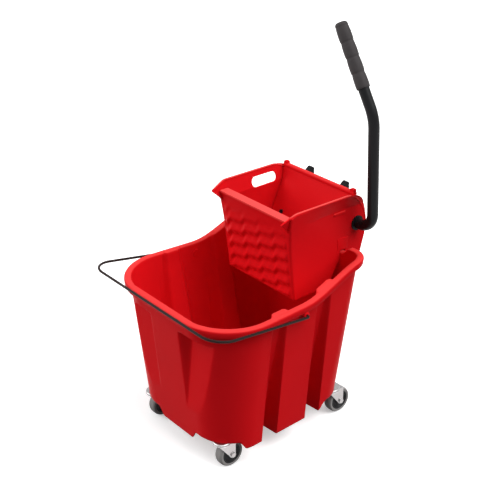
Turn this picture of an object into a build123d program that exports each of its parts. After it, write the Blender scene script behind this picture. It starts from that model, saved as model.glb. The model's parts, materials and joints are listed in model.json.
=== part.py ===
"""Mop bucket on casters with a side-press wringer, in millimetres.

Frame: +Z up from the floor, -Y the low front end of the tub, +Y the wringer end,
+X the side that carries the wringer's lever.
"""
import os
from math import cos, pi, radians, sin, tan

from build123d import *

os.makedirs("parts", exist_ok=True)

# Fits
RUN_FIT = 0.05  # radial gap of a turning fit
SEAT_GAP = 0.3  # gap between pieces that rest on each other but part again
SIDE_GAP = 1.5  # gap at each end of the press plate

# Tub: outer faces of the wall at the foot and at the rear rim
WALL = 4.0
FOOT_Z = 50.0
RIM_FRONT_Z = 387.0
RIM_REAR_Z = 440.0
FRONT_TOP_WALL_Y = -237.0
FRONT_FOOT_WALL_Y = -197.0
REAR_TOP_Y = 194.0
REAR_FOOT_Y = 182.0
TOP_FRONT_HALF = 216.0
TOP_REAR_HALF = 187.5
FOOT_FRONT_HALF = 172.0
FOOT_REAR_HALF = 156.0
TOP_FRONT_R = 120.0
TOP_REAR_R = 34.0
FOOT_FRONT_R = 88.0
FOOT_REAR_R = 70.0
FLOOR_Z = 78.0
LIP_OUT = 13.0
LIP_T = 18.0
RISE_START_Y = 5.0  # the side rim climbs from here
RISE_END_Y = 190.0

# Flutes in the side walls and recessed panels in the front corners
FLUTES = ((-63.0, 364.0), (73.0, 380.0))  # place along Y and top of each
FLUTE_FOOT_DEPTH = 50.0
FLUTE_TOP_DEPTH = 9.0
FLUTE_FOOT_HALF = 21.0  # half width of the floor
FLUTE_TOP_HALF = 10.0
FLUTE_FOOT_FLANK = 0.04  # sideways spread of a flank per mm of depth
FLUTE_TOP_FLANK = 1.4
FLUTE_R = 9.0
PANEL_X = 49.0  # inner edge of a recessed panel
PANEL_TOP_Z = 338.0
PANEL_FOOT_Z = 137.0
PANEL_TOP_SLOPE = 28.0  # width of the slope beside the panel
PANEL_FOOT_SLOPE = 2.0
PANEL_TOP_DEPTH = 21.0
PANEL_FOOT_DEPTH = 0.6

# Casters
CASTER_X = 129.0
CASTER_FRONT_Y = -171.0
CASTER_REAR_Y = 165.0
CASTER_TRAIL = 20.0
WHEEL_R = 32.5
TREAD_W = 23.0
TREAD_T = 8.5
HUB_W = 25.4
HUB_R = 8.0
AXLE_R = 4.0
FORK_T = 2.0
FORK_CLEAR = 1.5
RACE_R = 20.0
RACE_GAP = 0.4
STEM_R = 5.5
STEM_L = 26.0
STEM_SOCKET_R = 14.0
SWEEP_CLEAR = 4.0
RACE_BEVEL = 1.5
RIVET_R = 5.0
RIVET_HEAD_R = 8.0
RIVET_T = 2.5
FORK_TIP_R = 8.0
FORK_TIP_START = 200.0  # degrees round the axle where a leg's rounded tip begins
FORK_TIP_TURN = 160.0
FORK_FRONT = 16.0
AXLE_NUT_R = 6.5
AXLE_NUT_T = 3.5
AXLE_NUT_SIDES = 6
WEB_T = 8.0
TREAD_EDGE_R = 4.0

# Bail
BAIL_R = 3.0
BAIL_PIVOT_Y = 6.0
BAIL_PIVOT_Z = 362.0
BAIL_FRONT_Y = -267.0
BAIL_RISE = 8.2  # degrees above level at rest
BAIL_CORNER_GAP = 3.0  # past the lip
BAIL_CORNER_R = 48.0
BAIL_LIP_GAP = 3.5
BAIL_END_R = 7.0
EAR_R = 8.0
LEDGE_W = 22.0
LEDGE_T = 6.0
CAP_R = 6.0
CAP_L = 7.0
CAP_GAP = 1.0

# Wringer basket
BASKET_HALF = 115.0
BASKET_T = 4.0
BASKET_FLOOR_Z = 344.0
BASKET_TOP_Z = 563.0
BASKET_REAR_Y = 267.0
FLOOR_REAR_Y = 150.0
FRONT_TOP_Y = 26.0
FRONT_TOP_Z = 545.0
FRONT_FOOT_Y = 51.0
FLANGE_W = 18.0
FLARE_Z = 527.0
FLARE_OUT = 13.0
EAR_Y = 3.5  # front corners of the end walls curl forward to here
EAR_ROOT_Z = 505.0
EAR_TIP = 3.0
EAR_BACK_Y = 41.0
SHOULDER_Y = 190.0
HOOK_FOOT_Z = 405.0
HOOK_TAPER = 12.0
KERB_H = 14.0
DRAIN_COLUMNS = 5
DRAIN_ROWS = 4
DRAIN_PITCH_X = 40.0
DRAIN_PITCH_Y = 19.0
DRAIN_L = 30.0
DRAIN_W = 7.0
HAND_HOLE_Y = 157.0
HAND_HOLE_Z = 537.0
HAND_HOLE_L = 76.0
HAND_HOLE_H = 25.0

# Lever, its shaft and the drive arms
SHAFT_Y = 240.0
SHAFT_DROP = 81.0  # below the basket's top
TUBE_R = 12.7
TUBE_T = 2.0
LEVER_X = 165.0
LEVER_ELBOW_R = 38.0
LEVER_LEAN = 3.2
KNEE_Z = 750.0
KNEE_R = 90.0
GRIP_LEAN = 31.5
GRIP_RUN = 212.0
GRIP_R = 15.5
GRIP_L = 150.0
GRIP_RINGS = 4
GRIP_CAP = 6.0
GROOVE_W = 2.0
GROOVE_DEPTH = 1.0
ARM_X = 59.0
ARM_T = 12.0
ARM_HUB_R = 19.0
CAM_R = 54.0  # base circle of the arm's involute face
CAM_LEAD = 8.0  # how far the contact lies ahead of the shaft at rest
LEVER_SWING = 55.0
ARM_CROWN_R = 7.0
CROWN_TURN = 150.0
CAM_STEPS = 6
TOOTH_Y = 21.0  # spring notch behind the arm
TOOTH_Z = 54.0
TOOTH_PITCH = 10.0
NOTCH_Y = 13.0
RETAINER_T = 3.0
SHAFT_STUB = 3.0
PIN_R = 2.5
BUSH_R = 14.5
BUSH_FLANGE_R = 17.5
BUSH_FLANGE_T = 3.0

# Press plate and return springs
PLATE_T = 5.0
PLATE_FOOT_Y = 131.0
PLATE_FOOT_Z = 351.0
PLATE_TILT = 24.6
PLATE_DROP = 5.0  # below the basket's top
PLATE_ROLL_R = 6.0
PLATE_EAR_W = 13.0
PLATE_EAR_T = 8.0
PLATE_EAR_H = 11.0
PLATE_EAR_R = 3.0
RIB_INNER_X = 32.0
RIB_EDGE = 9.5  # from the plate's side to the middle of an outer rib
RIB_T = 4.0
RIB_DEPTH = 12.0
RIB_START = 24.0  # from the plate's foot, clear of the floor's kerb
RIB_END_GAP = 12.0  # to the plate's rolled top
PAD_W = 18.0
PAD_H = 16.0
PAD_T = 4.0
PAD_STUD_R = 3.0
PAD_STUD_L = 6.0
SPRING_X = 76.0
SPRING_DROP = 22.0  # below the shaft
ANCHOR_L = 8.0
SPRING_R = 4.5
SPRING_WIRE_R = 0.9
COVER_T = 2.5
COVER_DROP = 34.0  # below the shaft
COVER_RISE = 36.0
SCREW_R = 2.5
SCREW_HEAD_R = 5.0
SCREW_HEAD_T = 2.5
BOSS_R = 7.0
BOSS_SINK = 1.0
BOSS_DROP = 25.0  # below the shaft
BOSS_RISE = 28.0
COVER_SET = 5.5
BOSS_L = 16.0

# Derived places
LIP_HALF = TOP_FRONT_HALF + LIP_OUT
BAIL_CORNER_HALF = LIP_HALF + BAIL_CORNER_GAP
FLOOR_UNDER_Z = FLOOR_Z - WALL
SWEEP_R = CASTER_TRAIL + WHEEL_R + SWEEP_CLEAR
SPAN = 2 * (LIP_HALF + LIP_OUT)  # wide enough to cut across the whole object
CASTERS = {
    "front_left": (-CASTER_X, CASTER_FRONT_Y),
    "front_right": (CASTER_X, CASTER_FRONT_Y),
    "rear_left": (-CASTER_X, CASTER_REAR_Y),
    "rear_right": (CASTER_X, CASTER_REAR_Y),
}
SIDES = {"left": -1, "right": 1}
SHAFT_Z = BASKET_TOP_Z - SHAFT_DROP
PLATE_TOP_Z = BASKET_TOP_Z - PLATE_DROP
SPRING_Z = SHAFT_Z - SPRING_DROP
COVER_FOOT_Z = SHAFT_Z - COVER_DROP
COVER_TOP_Z = SHAFT_Z + COVER_RISE
BOSS_ZS = (SHAFT_Z - BOSS_DROP, SHAFT_Z + BOSS_RISE)


def finish(part, label):
    """Label a finished piece and write its STEP file."""
    part.label = label
    export_step(part, f"parts/{label}.step")


def along(foot, top, z):
    """Value at height z of a size that runs straight from the foot to the rear rim."""
    return foot + (top - foot) * (z - FOOT_Z) / (RIM_REAR_Z - FOOT_Z)


def side_half(y, z):
    """Half width of the tub's outer side wall at a place along Y and a height."""
    front_y = along(FRONT_FOOT_WALL_Y, FRONT_TOP_WALL_Y, z)
    rear_y = along(REAR_FOOT_Y, REAR_TOP_Y, z)
    front_half = along(FOOT_FRONT_HALF, TOP_FRONT_HALF, z)
    rear_half = along(FOOT_REAR_HALF, TOP_REAR_HALF, z)
    return front_half + (rear_half - front_half) * (y - front_y) / (rear_y - front_y)


def tub_section(z, grow):
    """Rounded outline of the tub wall at height z, moved outwards by grow."""
    front_half = along(FOOT_FRONT_HALF, TOP_FRONT_HALF, z) + grow
    rear_half = along(FOOT_REAR_HALF, TOP_REAR_HALF, z) + grow
    front_y = along(FRONT_FOOT_WALL_Y, FRONT_TOP_WALL_Y, z) - grow
    rear_y = along(REAR_FOOT_Y, REAR_TOP_Y, z) + grow
    with BuildSketch(Plane.XY.offset(z)) as section:
        with BuildLine():
            Polyline(
                (-front_half, front_y),
                (front_half, front_y),
                (rear_half, rear_y),
                (-rear_half, rear_y),
                close=True,
            )
        make_face()
        fillet(section.vertices().group_by(Axis.Y)[0], along(FOOT_FRONT_R, TOP_FRONT_R, z) + grow)
        fillet(section.vertices().group_by(Axis.Y)[-1], along(FOOT_REAR_R, TOP_REAR_R, z) + grow)
    return section.sketch


def flute_section(y, z, floor_x, floor_half, flank, grow):
    """Channel outline cut into the +X wall at one height, with a rounded floor."""
    half = floor_half + grow
    mouth = half + flank * (LIP_HALF - floor_x + grow)
    with BuildSketch(Plane.XY.offset(z)) as section:
        with BuildLine():
            Polyline(
                (floor_x - grow, y - half),
                (LIP_HALF, y - mouth),
                (LIP_HALF, y + mouth),
                (floor_x - grow, y + half),
                close=True,
            )
        make_face()
        fillet(section.vertices().group_by(Axis.X)[0], FLUTE_R)
    return section.sketch


def flute_foot(y, grow):
    """Channel outline at the tub's foot, where it is deep and steep."""
    floor_x = side_half(y, FOOT_Z) - FLUTE_FOOT_DEPTH
    return flute_section(y, FOOT_Z - WALL, floor_x, FLUTE_FOOT_HALF, FLUTE_FOOT_FLANK, grow)


def flute_head(y, z, grow):
    """Channel outline near the lip, where it is shallow and soft."""
    floor_x = side_half(y, z) - FLUTE_TOP_DEPTH
    return flute_section(y, z, floor_x, FLUTE_TOP_HALF, FLUTE_TOP_FLANK, grow)


def panel_section(z, slope, depth, grow):
    """Outline at one height of a panel cut back from the front wall, out past the +X corner."""
    front_y = along(FRONT_FOOT_WALL_Y, FRONT_TOP_WALL_Y, z)
    floor_y = front_y + depth + grow
    with BuildSketch(Plane.XY.offset(z)) as section:
        with BuildLine():
            Polyline(
                (PANEL_X - grow, front_y - LIP_OUT),
                (PANEL_X - grow, front_y),
                (PANEL_X + slope - grow, floor_y),
                (LIP_HALF, floor_y),
                (LIP_HALF, front_y - LIP_OUT),
                close=True,
            )
        make_face()
    return section.sketch


def rim_strip(drop):
    """Side outline of everything under the climbing rim line, lowered by drop."""
    low = RIM_FRONT_Z - drop
    high = RIM_REAR_Z - drop
    with BuildSketch(Plane.YZ) as strip:
        with BuildLine():
            Line((-SPAN, low), (RISE_START_Y, low))
            Spline((RISE_START_Y, low), (RISE_END_Y, high), tangents=((1, 0), (1, 0)))
            Polyline((RISE_END_Y, high), (SPAN, high), (SPAN, 0), (-SPAN, 0), (-SPAN, low))
        make_face()
    return strip.sketch


# Everything under the rim line, and under the lip
with BuildPart() as below_rim:
    extrude(rim_strip(0), amount=SPAN, both=True)
with BuildPart() as below_lip:
    extrude(rim_strip(LIP_T), amount=SPAN, both=True)

# Channels and panels cut into the wall outside, and the ridges that they make inside it
with BuildPart() as flutes:
    for flute_y, flute_top in FLUTES:
        loft([flute_foot(flute_y, 0), flute_head(flute_y, flute_top, 0)], ruled=True)
    loft([
        panel_section(PANEL_FOOT_Z, PANEL_FOOT_SLOPE, PANEL_FOOT_DEPTH, 0),
        panel_section(PANEL_TOP_Z, PANEL_TOP_SLOPE, PANEL_TOP_DEPTH, 0),
    ], ruled=True)
    mirror(about=Plane.YZ)
with BuildPart() as ridges:
    for flute_y, flute_top in FLUTES:
        loft([
            flute_foot(flute_y, WALL),
            flute_head(flute_y, flute_top + WALL, WALL),
            flute_head(flute_y, RIM_REAR_Z, WALL),
        ], ruled=True)
    loft([
        panel_section(PANEL_FOOT_Z, PANEL_FOOT_SLOPE, PANEL_FOOT_DEPTH, WALL),
        panel_section(PANEL_TOP_Z + WALL, PANEL_TOP_SLOPE, PANEL_TOP_DEPTH, WALL),
    ], ruled=True)
    mirror(about=Plane.YZ)

# Space inside the wall: the well above the floor and the hollow under it
with BuildPart() as hollow:
    loft([tub_section(FOOT_Z, -WALL), tub_section(RIM_REAR_Z, -WALL)], ruled=True)
    add(ridges.part, mode=Mode.SUBTRACT)
    with Locations((0, 0, FLOOR_UNDER_Z)):
        Box(SPAN, SPAN, WALL, align=(Align.CENTER, Align.CENTER, Align.MIN), mode=Mode.SUBTRACT)
    with Locations(*[(x, y, FLOOR_UNDER_Z) for x, y in CASTERS.values()]):
        Cylinder(
            STEM_SOCKET_R,
            STEM_L + WALL,
            align=(Align.CENTER, Align.CENTER, Align.MIN),
            mode=Mode.SUBTRACT,
        )

# Lip that follows the climbing rim line
with BuildPart() as lip:
    loft([tub_section(RIM_FRONT_Z - LIP_T, LIP_OUT), tub_section(RIM_REAR_Z, LIP_OUT)], ruled=True)
    add(below_lip.part, mode=Mode.SUBTRACT)
    add(hollow.part, mode=Mode.SUBTRACT)

# Bail ears: the wire turns in a boss under the lip and rests on a ledge ahead of it
bail_arm_x = side_half(BAIL_PIVOT_Y, RIM_FRONT_Z) + LIP_OUT + BAIL_R + BAIL_LIP_GAP
ear_inner_x = side_half(BAIL_PIVOT_Y, BAIL_PIVOT_Z) - WALL
ear_len = bail_arm_x - BAIL_END_R - SEAT_GAP - ear_inner_x
ledge_z = BAIL_PIVOT_Z - BAIL_R / cos(radians(BAIL_RISE)) - SEAT_GAP
ledge_len = bail_arm_x + BAIL_R - ear_inner_x
with BuildPart() as bucket_tub:
    loft([tub_section(FOOT_Z, 0), tub_section(RIM_REAR_Z, 0)], ruled=True)
    add(flutes.part, mode=Mode.SUBTRACT)
    for side in SIDES.values():
        with Locations(Location((side * ear_inner_x, BAIL_PIVOT_Y, BAIL_PIVOT_Z), (0, 90 * side, 0))):
            Cylinder(EAR_R, ear_len, align=(Align.CENTER, Align.CENTER, Align.MIN))
        with Locations((side * (ear_inner_x + ledge_len / 2), BAIL_PIVOT_Y - EAR_R, ledge_z)):
            Box(ledge_len, LEDGE_W, LEDGE_T, align=(Align.CENTER, Align.CENTER, Align.MAX))
    add(hollow.part, mode=Mode.SUBTRACT)
    add(lip.part)
    add(below_rim.part, mode=Mode.INTERSECT)
    with Locations((0, BAIL_PIVOT_Y, BAIL_PIVOT_Z)):
        Cylinder(BAIL_R + RUN_FIT, SPAN, rotation=(0, 90, 0), mode=Mode.SUBTRACT)
    with Locations(*[(x, y, FOOT_Z - WALL) for x, y in CASTERS.values()]):
        Cylinder(
            SWEEP_R,
            FLOOR_UNDER_Z - FOOT_Z + WALL,
            align=(Align.CENTER, Align.CENTER, Align.MIN),
            mode=Mode.SUBTRACT,
        )
    with Locations(*[(x, y, FLOOR_UNDER_Z) for x, y in CASTERS.values()]):
        Cylinder(
            STEM_R + RUN_FIT,
            STEM_L,
            align=(Align.CENTER, Align.CENTER, Align.MIN),
            mode=Mode.SUBTRACT,
        )
finish(bucket_tub.part, "bucket_tub")

# Bail: one bent wire that turns in the ears, with a cap pushed on each end inside the tub
bail_reach = (BAIL_PIVOT_Y - BAIL_R - BAIL_FRONT_Y) / cos(radians(BAIL_RISE))
bail_plane = Plane(
    origin=(0, BAIL_PIVOT_Y, BAIL_PIVOT_Z),
    x_dir=(1, 0, 0),
    z_dir=(0, sin(radians(BAIL_RISE)), cos(radians(BAIL_RISE))),
)
bail_end_x = ear_inner_x - CAP_GAP - CAP_L
with BuildPart() as bail_handle:
    with BuildLine(bail_plane) as bail_path:
        FilletPolyline(
            (-bail_end_x - WALL, 0),
            (-bail_arm_x, 0),
            (-BAIL_CORNER_HALF, -bail_reach),
            (BAIL_CORNER_HALF, -bail_reach),
            (bail_arm_x, 0),
            (bail_end_x + WALL, 0),
            radius=(BAIL_END_R, BAIL_CORNER_R, BAIL_CORNER_R, BAIL_END_R),
        )
    with BuildSketch(Plane(origin=bail_path.line @ 0, z_dir=bail_path.line % 0)):
        Circle(BAIL_R)
    sweep()
finish(bail_handle.part, "bail_handle")

with BuildPart() as bail_caps:
    for side in SIDES.values():
        cap_place = Location((side * bail_end_x, BAIL_PIVOT_Y, BAIL_PIVOT_Z), (0, 90 * side, 0))
        with Locations(cap_place):
            Cylinder(CAP_R, CAP_L, align=(Align.CENTER, Align.CENTER, Align.MIN))
        with Locations(cap_place * Pos(0, 0, WALL - RUN_FIT)):
            Cylinder(
                BAIL_R + RUN_FIT,
                CAP_L,
                align=(Align.CENTER, Align.CENTER, Align.MIN),
                mode=Mode.SUBTRACT,
            )
finish(bail_caps.part, "bail_caps")

# Casters: a stem with the upper race, a folded fork, an axle bolt, a core and a tread
fork_crown_z = WHEEL_R * 2 + FORK_CLEAR
race_z = fork_crown_z + FORK_T + RACE_GAP
fork_in = HUB_W / 2 + SEAT_GAP
fork_out = fork_in + FORK_T
rivet_z = fork_crown_z - RACE_GAP
for place, (caster_x, caster_y) in CASTERS.items():
    wheel_y = caster_y + CASTER_TRAIL
    with BuildPart() as caster_mount:
        with BuildSketch(Plane.XZ.offset(-caster_y)):
            with BuildLine():
                Polyline(
                    (caster_x, rivet_z - RIVET_T),
                    (caster_x + RIVET_HEAD_R, rivet_z - RIVET_T),
                    (caster_x + RIVET_HEAD_R, rivet_z),
                    (caster_x + RIVET_R, rivet_z),
                    (caster_x + RIVET_R, race_z),
                    (caster_x + RACE_R - RACE_BEVEL, race_z),
                    (caster_x + RACE_R, race_z + RACE_BEVEL),
                    (caster_x + RACE_R, FLOOR_UNDER_Z),
                    (caster_x + STEM_R, FLOOR_UNDER_Z),
                    (caster_x + STEM_R, FLOOR_UNDER_Z + STEM_L - SEAT_GAP),
                    (caster_x, FLOOR_UNDER_Z + STEM_L - SEAT_GAP),
                    close=True,
                )
            make_face()
        revolve(axis=Axis((caster_x, caster_y, 0), (0, 0, 1)))
    finish(caster_mount.part, f"caster_mount_{place}")

    with BuildPart() as caster_fork:
        with BuildSketch(Plane.YZ.offset(caster_x)):
            with BuildLine():
                leg_tip = CenterArc((wheel_y, WHEEL_R), FORK_TIP_R, FORK_TIP_START, FORK_TIP_TURN)
                Polyline(
                    leg_tip @ 1,
                    (wheel_y + FORK_TIP_R, fork_crown_z + FORK_T),
                    (caster_y - FORK_FRONT, fork_crown_z + FORK_T),
                    (caster_y - FORK_FRONT, fork_crown_z),
                    leg_tip @ 0,
                )
            make_face()
        extrude(amount=fork_out, both=True)
        with BuildSketch(Plane.YZ.offset(caster_x)):
            with Locations((caster_y, 0)):
                Rectangle(SPAN, fork_crown_z, align=(Align.CENTER, Align.MIN))
        extrude(amount=fork_in, both=True, mode=Mode.SUBTRACT)
        with Locations((caster_x, caster_y, fork_crown_z)):
            Cylinder(RACE_R, FORK_T, align=(Align.CENTER, Align.CENTER, Align.MIN))
            Cylinder(RIVET_R + RUN_FIT, SPAN, mode=Mode.SUBTRACT)
        with Locations((caster_x, wheel_y, WHEEL_R)):
            Cylinder(AXLE_R + RUN_FIT, SPAN, rotation=(0, 90, 0), mode=Mode.SUBTRACT)
    finish(caster_fork.part, f"caster_fork_{place}")

    with BuildPart() as caster_axle:
        with Locations(Location((caster_x, wheel_y, WHEEL_R), (0, 90, 0))):
            Cylinder(AXLE_R, 2 * (fork_out + AXLE_NUT_T))
        for side in SIDES.values():
            with BuildSketch(Plane.YZ.offset(caster_x + side * fork_out)):
                with Locations((wheel_y, WHEEL_R)):
                    RegularPolygon(AXLE_NUT_R, AXLE_NUT_SIDES)
            extrude(amount=side * AXLE_NUT_T)
    finish(caster_axle.part, f"caster_axle_{place}")

    with BuildPart() as wheel_core:
        with BuildSketch(Plane.XY.offset(WHEEL_R)):
            with BuildLine():
                Polyline(
                    (caster_x, wheel_y + AXLE_R + RUN_FIT),
                    (caster_x + HUB_W / 2, wheel_y + AXLE_R + RUN_FIT),
                    (caster_x + HUB_W / 2, wheel_y + HUB_R),
                    (caster_x + WEB_T / 2, wheel_y + HUB_R + WEB_T / 2),
                    (caster_x + WEB_T / 2, wheel_y + WHEEL_R - TREAD_T - WEB_T),
                    (caster_x + TREAD_W / 2, wheel_y + WHEEL_R - TREAD_T - WEB_T / 2),
                    (caster_x + TREAD_W / 2, wheel_y + WHEEL_R - TREAD_T),
                    (caster_x, wheel_y + WHEEL_R - TREAD_T),
                    close=True,
                )
            make_face()
            mirror(about=Plane(origin=(caster_x, wheel_y, WHEEL_R), z_dir=(1, 0, 0)))
        revolve(axis=Axis((caster_x, wheel_y, WHEEL_R), (1, 0, 0)))
    finish(wheel_core.part, f"wheel_core_{place}")

    with BuildPart() as wheel_tread:
        with Locations(Location((caster_x, wheel_y, WHEEL_R), (0, 90, 0))):
            Cylinder(WHEEL_R, TREAD_W)
        fillet(wheel_tread.edges().filter_by(GeomType.CIRCLE), TREAD_EDGE_R)
        with Locations(Location((caster_x, wheel_y, WHEEL_R), (0, 90, 0))):
            Cylinder(WHEEL_R - TREAD_T, TREAD_W, mode=Mode.SUBTRACT)
    finish(wheel_tread.part, f"wheel_tread_{place}")


def flare_x(z):
    """Inner face of an end wall at height z: upright, then leaning out under the top."""
    share = max(0.0, z - FLARE_Z) / (BASKET_TOP_Z - FLARE_Z)
    return BASKET_HALF - BASKET_T + FLARE_OUT * share


def basket_front_y(z):
    """Outer face of the leaning front wall at height z."""
    share = (z - BASKET_FLOOR_Z) / (FRONT_TOP_Z - BASKET_FLOOR_Z)
    return FRONT_FOOT_Y + (FRONT_TOP_Y - FRONT_FOOT_Y) * share


rim_inner_y = REAR_TOP_Y - WALL
seat_z = RIM_REAR_Z + SEAT_GAP
hook_y = REAR_TOP_Y + LIP_OUT + SEAT_GAP
wall_in = BASKET_HALF - BASKET_T
cover_y = BASKET_REAR_Y - COVER_SET
screw_x = wall_in - BOSS_R + BOSS_SINK
# One flared end wall, with a curled front corner and a round rear shoulder
with BuildPart() as end_wall:
    with BuildSketch(Plane.XZ):
        with BuildLine():
            Polyline(
                (wall_in, BASKET_FLOOR_Z),
                (BASKET_HALF, BASKET_FLOOR_Z),
                (BASKET_HALF, FLARE_Z),
                (BASKET_HALF + FLARE_OUT, BASKET_TOP_Z),
                (wall_in + FLARE_OUT, BASKET_TOP_Z),
                (wall_in, FLARE_Z),
                close=True,
            )
        make_face()
    extrude(amount=SPAN, both=True)
    with BuildSketch(Plane.YZ):
        with BuildLine():
            ear_curve = Spline(
                (basket_front_y(EAR_ROOT_Z), EAR_ROOT_Z),
                (EAR_Y, FRONT_TOP_Z),
                tangents=((FRONT_TOP_Y - FRONT_FOOT_Y, FRONT_TOP_Z - BASKET_FLOOR_Z), (-1, 1)),
            )
            Polyline(
                ear_curve @ 1,
                (EAR_Y + EAR_TIP, FRONT_TOP_Z + EAR_TIP),
                (EAR_BACK_Y, BASKET_TOP_Z),
                (SHOULDER_Y, BASKET_TOP_Z),
            )
            shoulder = Spline(
                (SHOULDER_Y, BASKET_TOP_Z),
                (BASKET_REAR_Y, SHAFT_Z),
                tangents=((1, 0), (0, -1)),
            )
            Polyline(
                shoulder @ 1,
                (BASKET_REAR_Y, COVER_FOOT_Z),
                (BASKET_REAR_Y - HOOK_TAPER, HOOK_FOOT_Z),
                (hook_y, HOOK_FOOT_Z),
                (hook_y, seat_z),
                (rim_inner_y - SEAT_GAP, seat_z),
                (along(REAR_FOOT_Y, REAR_TOP_Y, HOOK_FOOT_Z) - WALL - SEAT_GAP, HOOK_FOOT_Z),
                (FLOOR_REAR_Y, BASKET_FLOOR_Z),
                (FRONT_FOOT_Y, BASKET_FLOOR_Z),
                (basket_front_y(EAR_ROOT_Z), EAR_ROOT_Z),
            )
        make_face()
    extrude(amount=SPAN, both=True, mode=Mode.INTERSECT)

# Wringer basket: two flared end walls, a leaning front wall, a slotted floor and a hook rail
with BuildPart() as wringer_basket:
    add(end_wall.part)
    mirror(about=Plane.YZ)
    with BuildSketch(Plane.YZ):
        with BuildLine():
            Polyline(
                (FRONT_FOOT_Y, BASKET_FLOOR_Z),
                (FRONT_TOP_Y, FRONT_TOP_Z),
                (FRONT_TOP_Y + FLANGE_W, FRONT_TOP_Z),
                (FRONT_TOP_Y + FLANGE_W, FRONT_TOP_Z - BASKET_T),
                (basket_front_y(FRONT_TOP_Z - BASKET_T) + BASKET_T, FRONT_TOP_Z - BASKET_T),
                (basket_front_y(BASKET_FLOOR_Z + BASKET_T) + BASKET_T, BASKET_FLOOR_Z + BASKET_T),
                (FLOOR_REAR_Y - BASKET_T, BASKET_FLOOR_Z + BASKET_T),
                (FLOOR_REAR_Y - BASKET_T, BASKET_FLOOR_Z + KERB_H),
                (FLOOR_REAR_Y, BASKET_FLOOR_Z + KERB_H),
                (FLOOR_REAR_Y, BASKET_FLOOR_Z),
                close=True,
            )
        make_face()
        with BuildLine():
            Polyline(
                (rim_inner_y, seat_z),
                (hook_y, seat_z),
                (hook_y, HOOK_FOOT_Z),
                (hook_y + BASKET_T, HOOK_FOOT_Z),
                (hook_y + BASKET_T, seat_z + BASKET_T),
                (rim_inner_y, seat_z + BASKET_T),
                close=True,
            )
        make_face()
    extrude(amount=BASKET_HALF, both=True)
    with BuildSketch(Plane.XY.offset(BASKET_FLOOR_Z)):
        with Locations((0, (FRONT_FOOT_Y + FLOOR_REAR_Y) / 2)):
            with GridLocations(DRAIN_PITCH_X, DRAIN_PITCH_Y, DRAIN_COLUMNS, DRAIN_ROWS):
                SlotOverall(DRAIN_L, DRAIN_W)
    extrude(amount=BASKET_T, mode=Mode.SUBTRACT)
    with BuildSketch(Plane.YZ):
        with Locations((HAND_HOLE_Y, HAND_HOLE_Z)):
            SlotOverall(HAND_HOLE_L, HAND_HOLE_H)
    extrude(amount=-SPAN, mode=Mode.SUBTRACT)
    for side in SIDES.values():
        for boss_z in BOSS_ZS:
            with Locations(Location((side * screw_x, cover_y, boss_z), (90, 0, 0))):
                Cylinder(BOSS_R, BOSS_L, align=(Align.CENTER, Align.CENTER, Align.MIN))
                Cylinder(
                    SCREW_R + RUN_FIT,
                    BOSS_L - WALL,
                    align=(Align.CENTER, Align.CENTER, Align.MIN),
                    mode=Mode.SUBTRACT,
                )
    with Locations((0, SHAFT_Y, SHAFT_Z)):
        Cylinder(BUSH_R + RUN_FIT, SPAN, rotation=(0, 90, 0), mode=Mode.SUBTRACT)
finish(wringer_basket.part, "wringer_basket")

# Places shared by the basket, the plate and the drive
tilt = radians(PLATE_TILT)
plate_plane = Plane(
    origin=(0, PLATE_FOOT_Y, PLATE_FOOT_Z),
    x_dir=(1, 0, 0),
    z_dir=(0, -cos(tilt), sin(tilt)),
)
plate_h = (PLATE_TOP_Z - PLATE_FOOT_Z) / cos(tilt)
flare_h = (FLARE_Z - PLATE_FOOT_Z) / cos(tilt)
plate_half = wall_in - SIDE_GAP
rib_outer_x = plate_half - RIB_EDGE
plate_top_half = flare_x(PLATE_TOP_Z) - SIDE_GAP
roll_half = flare_x(PLATE_TOP_Z - PLATE_ROLL_R) - SIDE_GAP


def plate_y(z):
    """Middle of the plate's thickness at height z."""
    return PLATE_FOOT_Y + (z - PLATE_FOOT_Z) * tan(tilt)


anchor_h = (SPRING_Z - PLATE_FOOT_Z) / cos(tilt)
pad_z = SHAFT_Z + CAM_R
pad_face_y = SHAFT_Y - CAM_LEAD - SEAT_GAP
pad_back_y = pad_face_y - PAD_T
foot_gap_z = BASKET_FLOOR_Z + BASKET_T + SEAT_GAP
anchor_back = PLATE_T / 2 + ANCHOR_L
spring_y = plate_y(SPRING_Z) + anchor_back * cos(tilt) + SEAT_GAP
spring_z = SPRING_Z - anchor_back * sin(tilt)

# Rear cover across the basket's open back
with BuildPart() as rear_cover:
    with Locations((0, cover_y, COVER_FOOT_Z)):
        Box(
            2 * (wall_in - SEAT_GAP),
            COVER_T,
            COVER_TOP_Z - COVER_FOOT_Z,
            align=(Align.CENTER, Align.MIN, Align.MIN),
        )
    for side in SIDES.values():
        with Locations(Location((side * screw_x, cover_y, 0), (90, 0, 0))):
            with Locations(*[(0, boss_z, 0) for boss_z in BOSS_ZS]):
                Cylinder(SCREW_R + RUN_FIT, SPAN, mode=Mode.SUBTRACT)
        with Locations(Location((side * SPRING_X, cover_y, spring_z), (90, 0, 0))):
            Cylinder(SPRING_WIRE_R + RUN_FIT, SPAN, mode=Mode.SUBTRACT)
finish(rear_cover.part, "rear_cover")

with BuildPart() as cover_screws:
    for side in SIDES.values():
        for boss_z in BOSS_ZS:
            screw_place = Location((side * screw_x, cover_y + COVER_T, boss_z), (90, 0, 0))
            with Locations(screw_place):
                Cylinder(SCREW_R, BOSS_L - WALL, align=(Align.CENTER, Align.CENTER, Align.MIN))
                Cylinder(SCREW_HEAD_R, SCREW_HEAD_T, align=(Align.CENTER, Align.CENTER, Align.MAX))
finish(cover_screws.part, "cover_screws")

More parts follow.
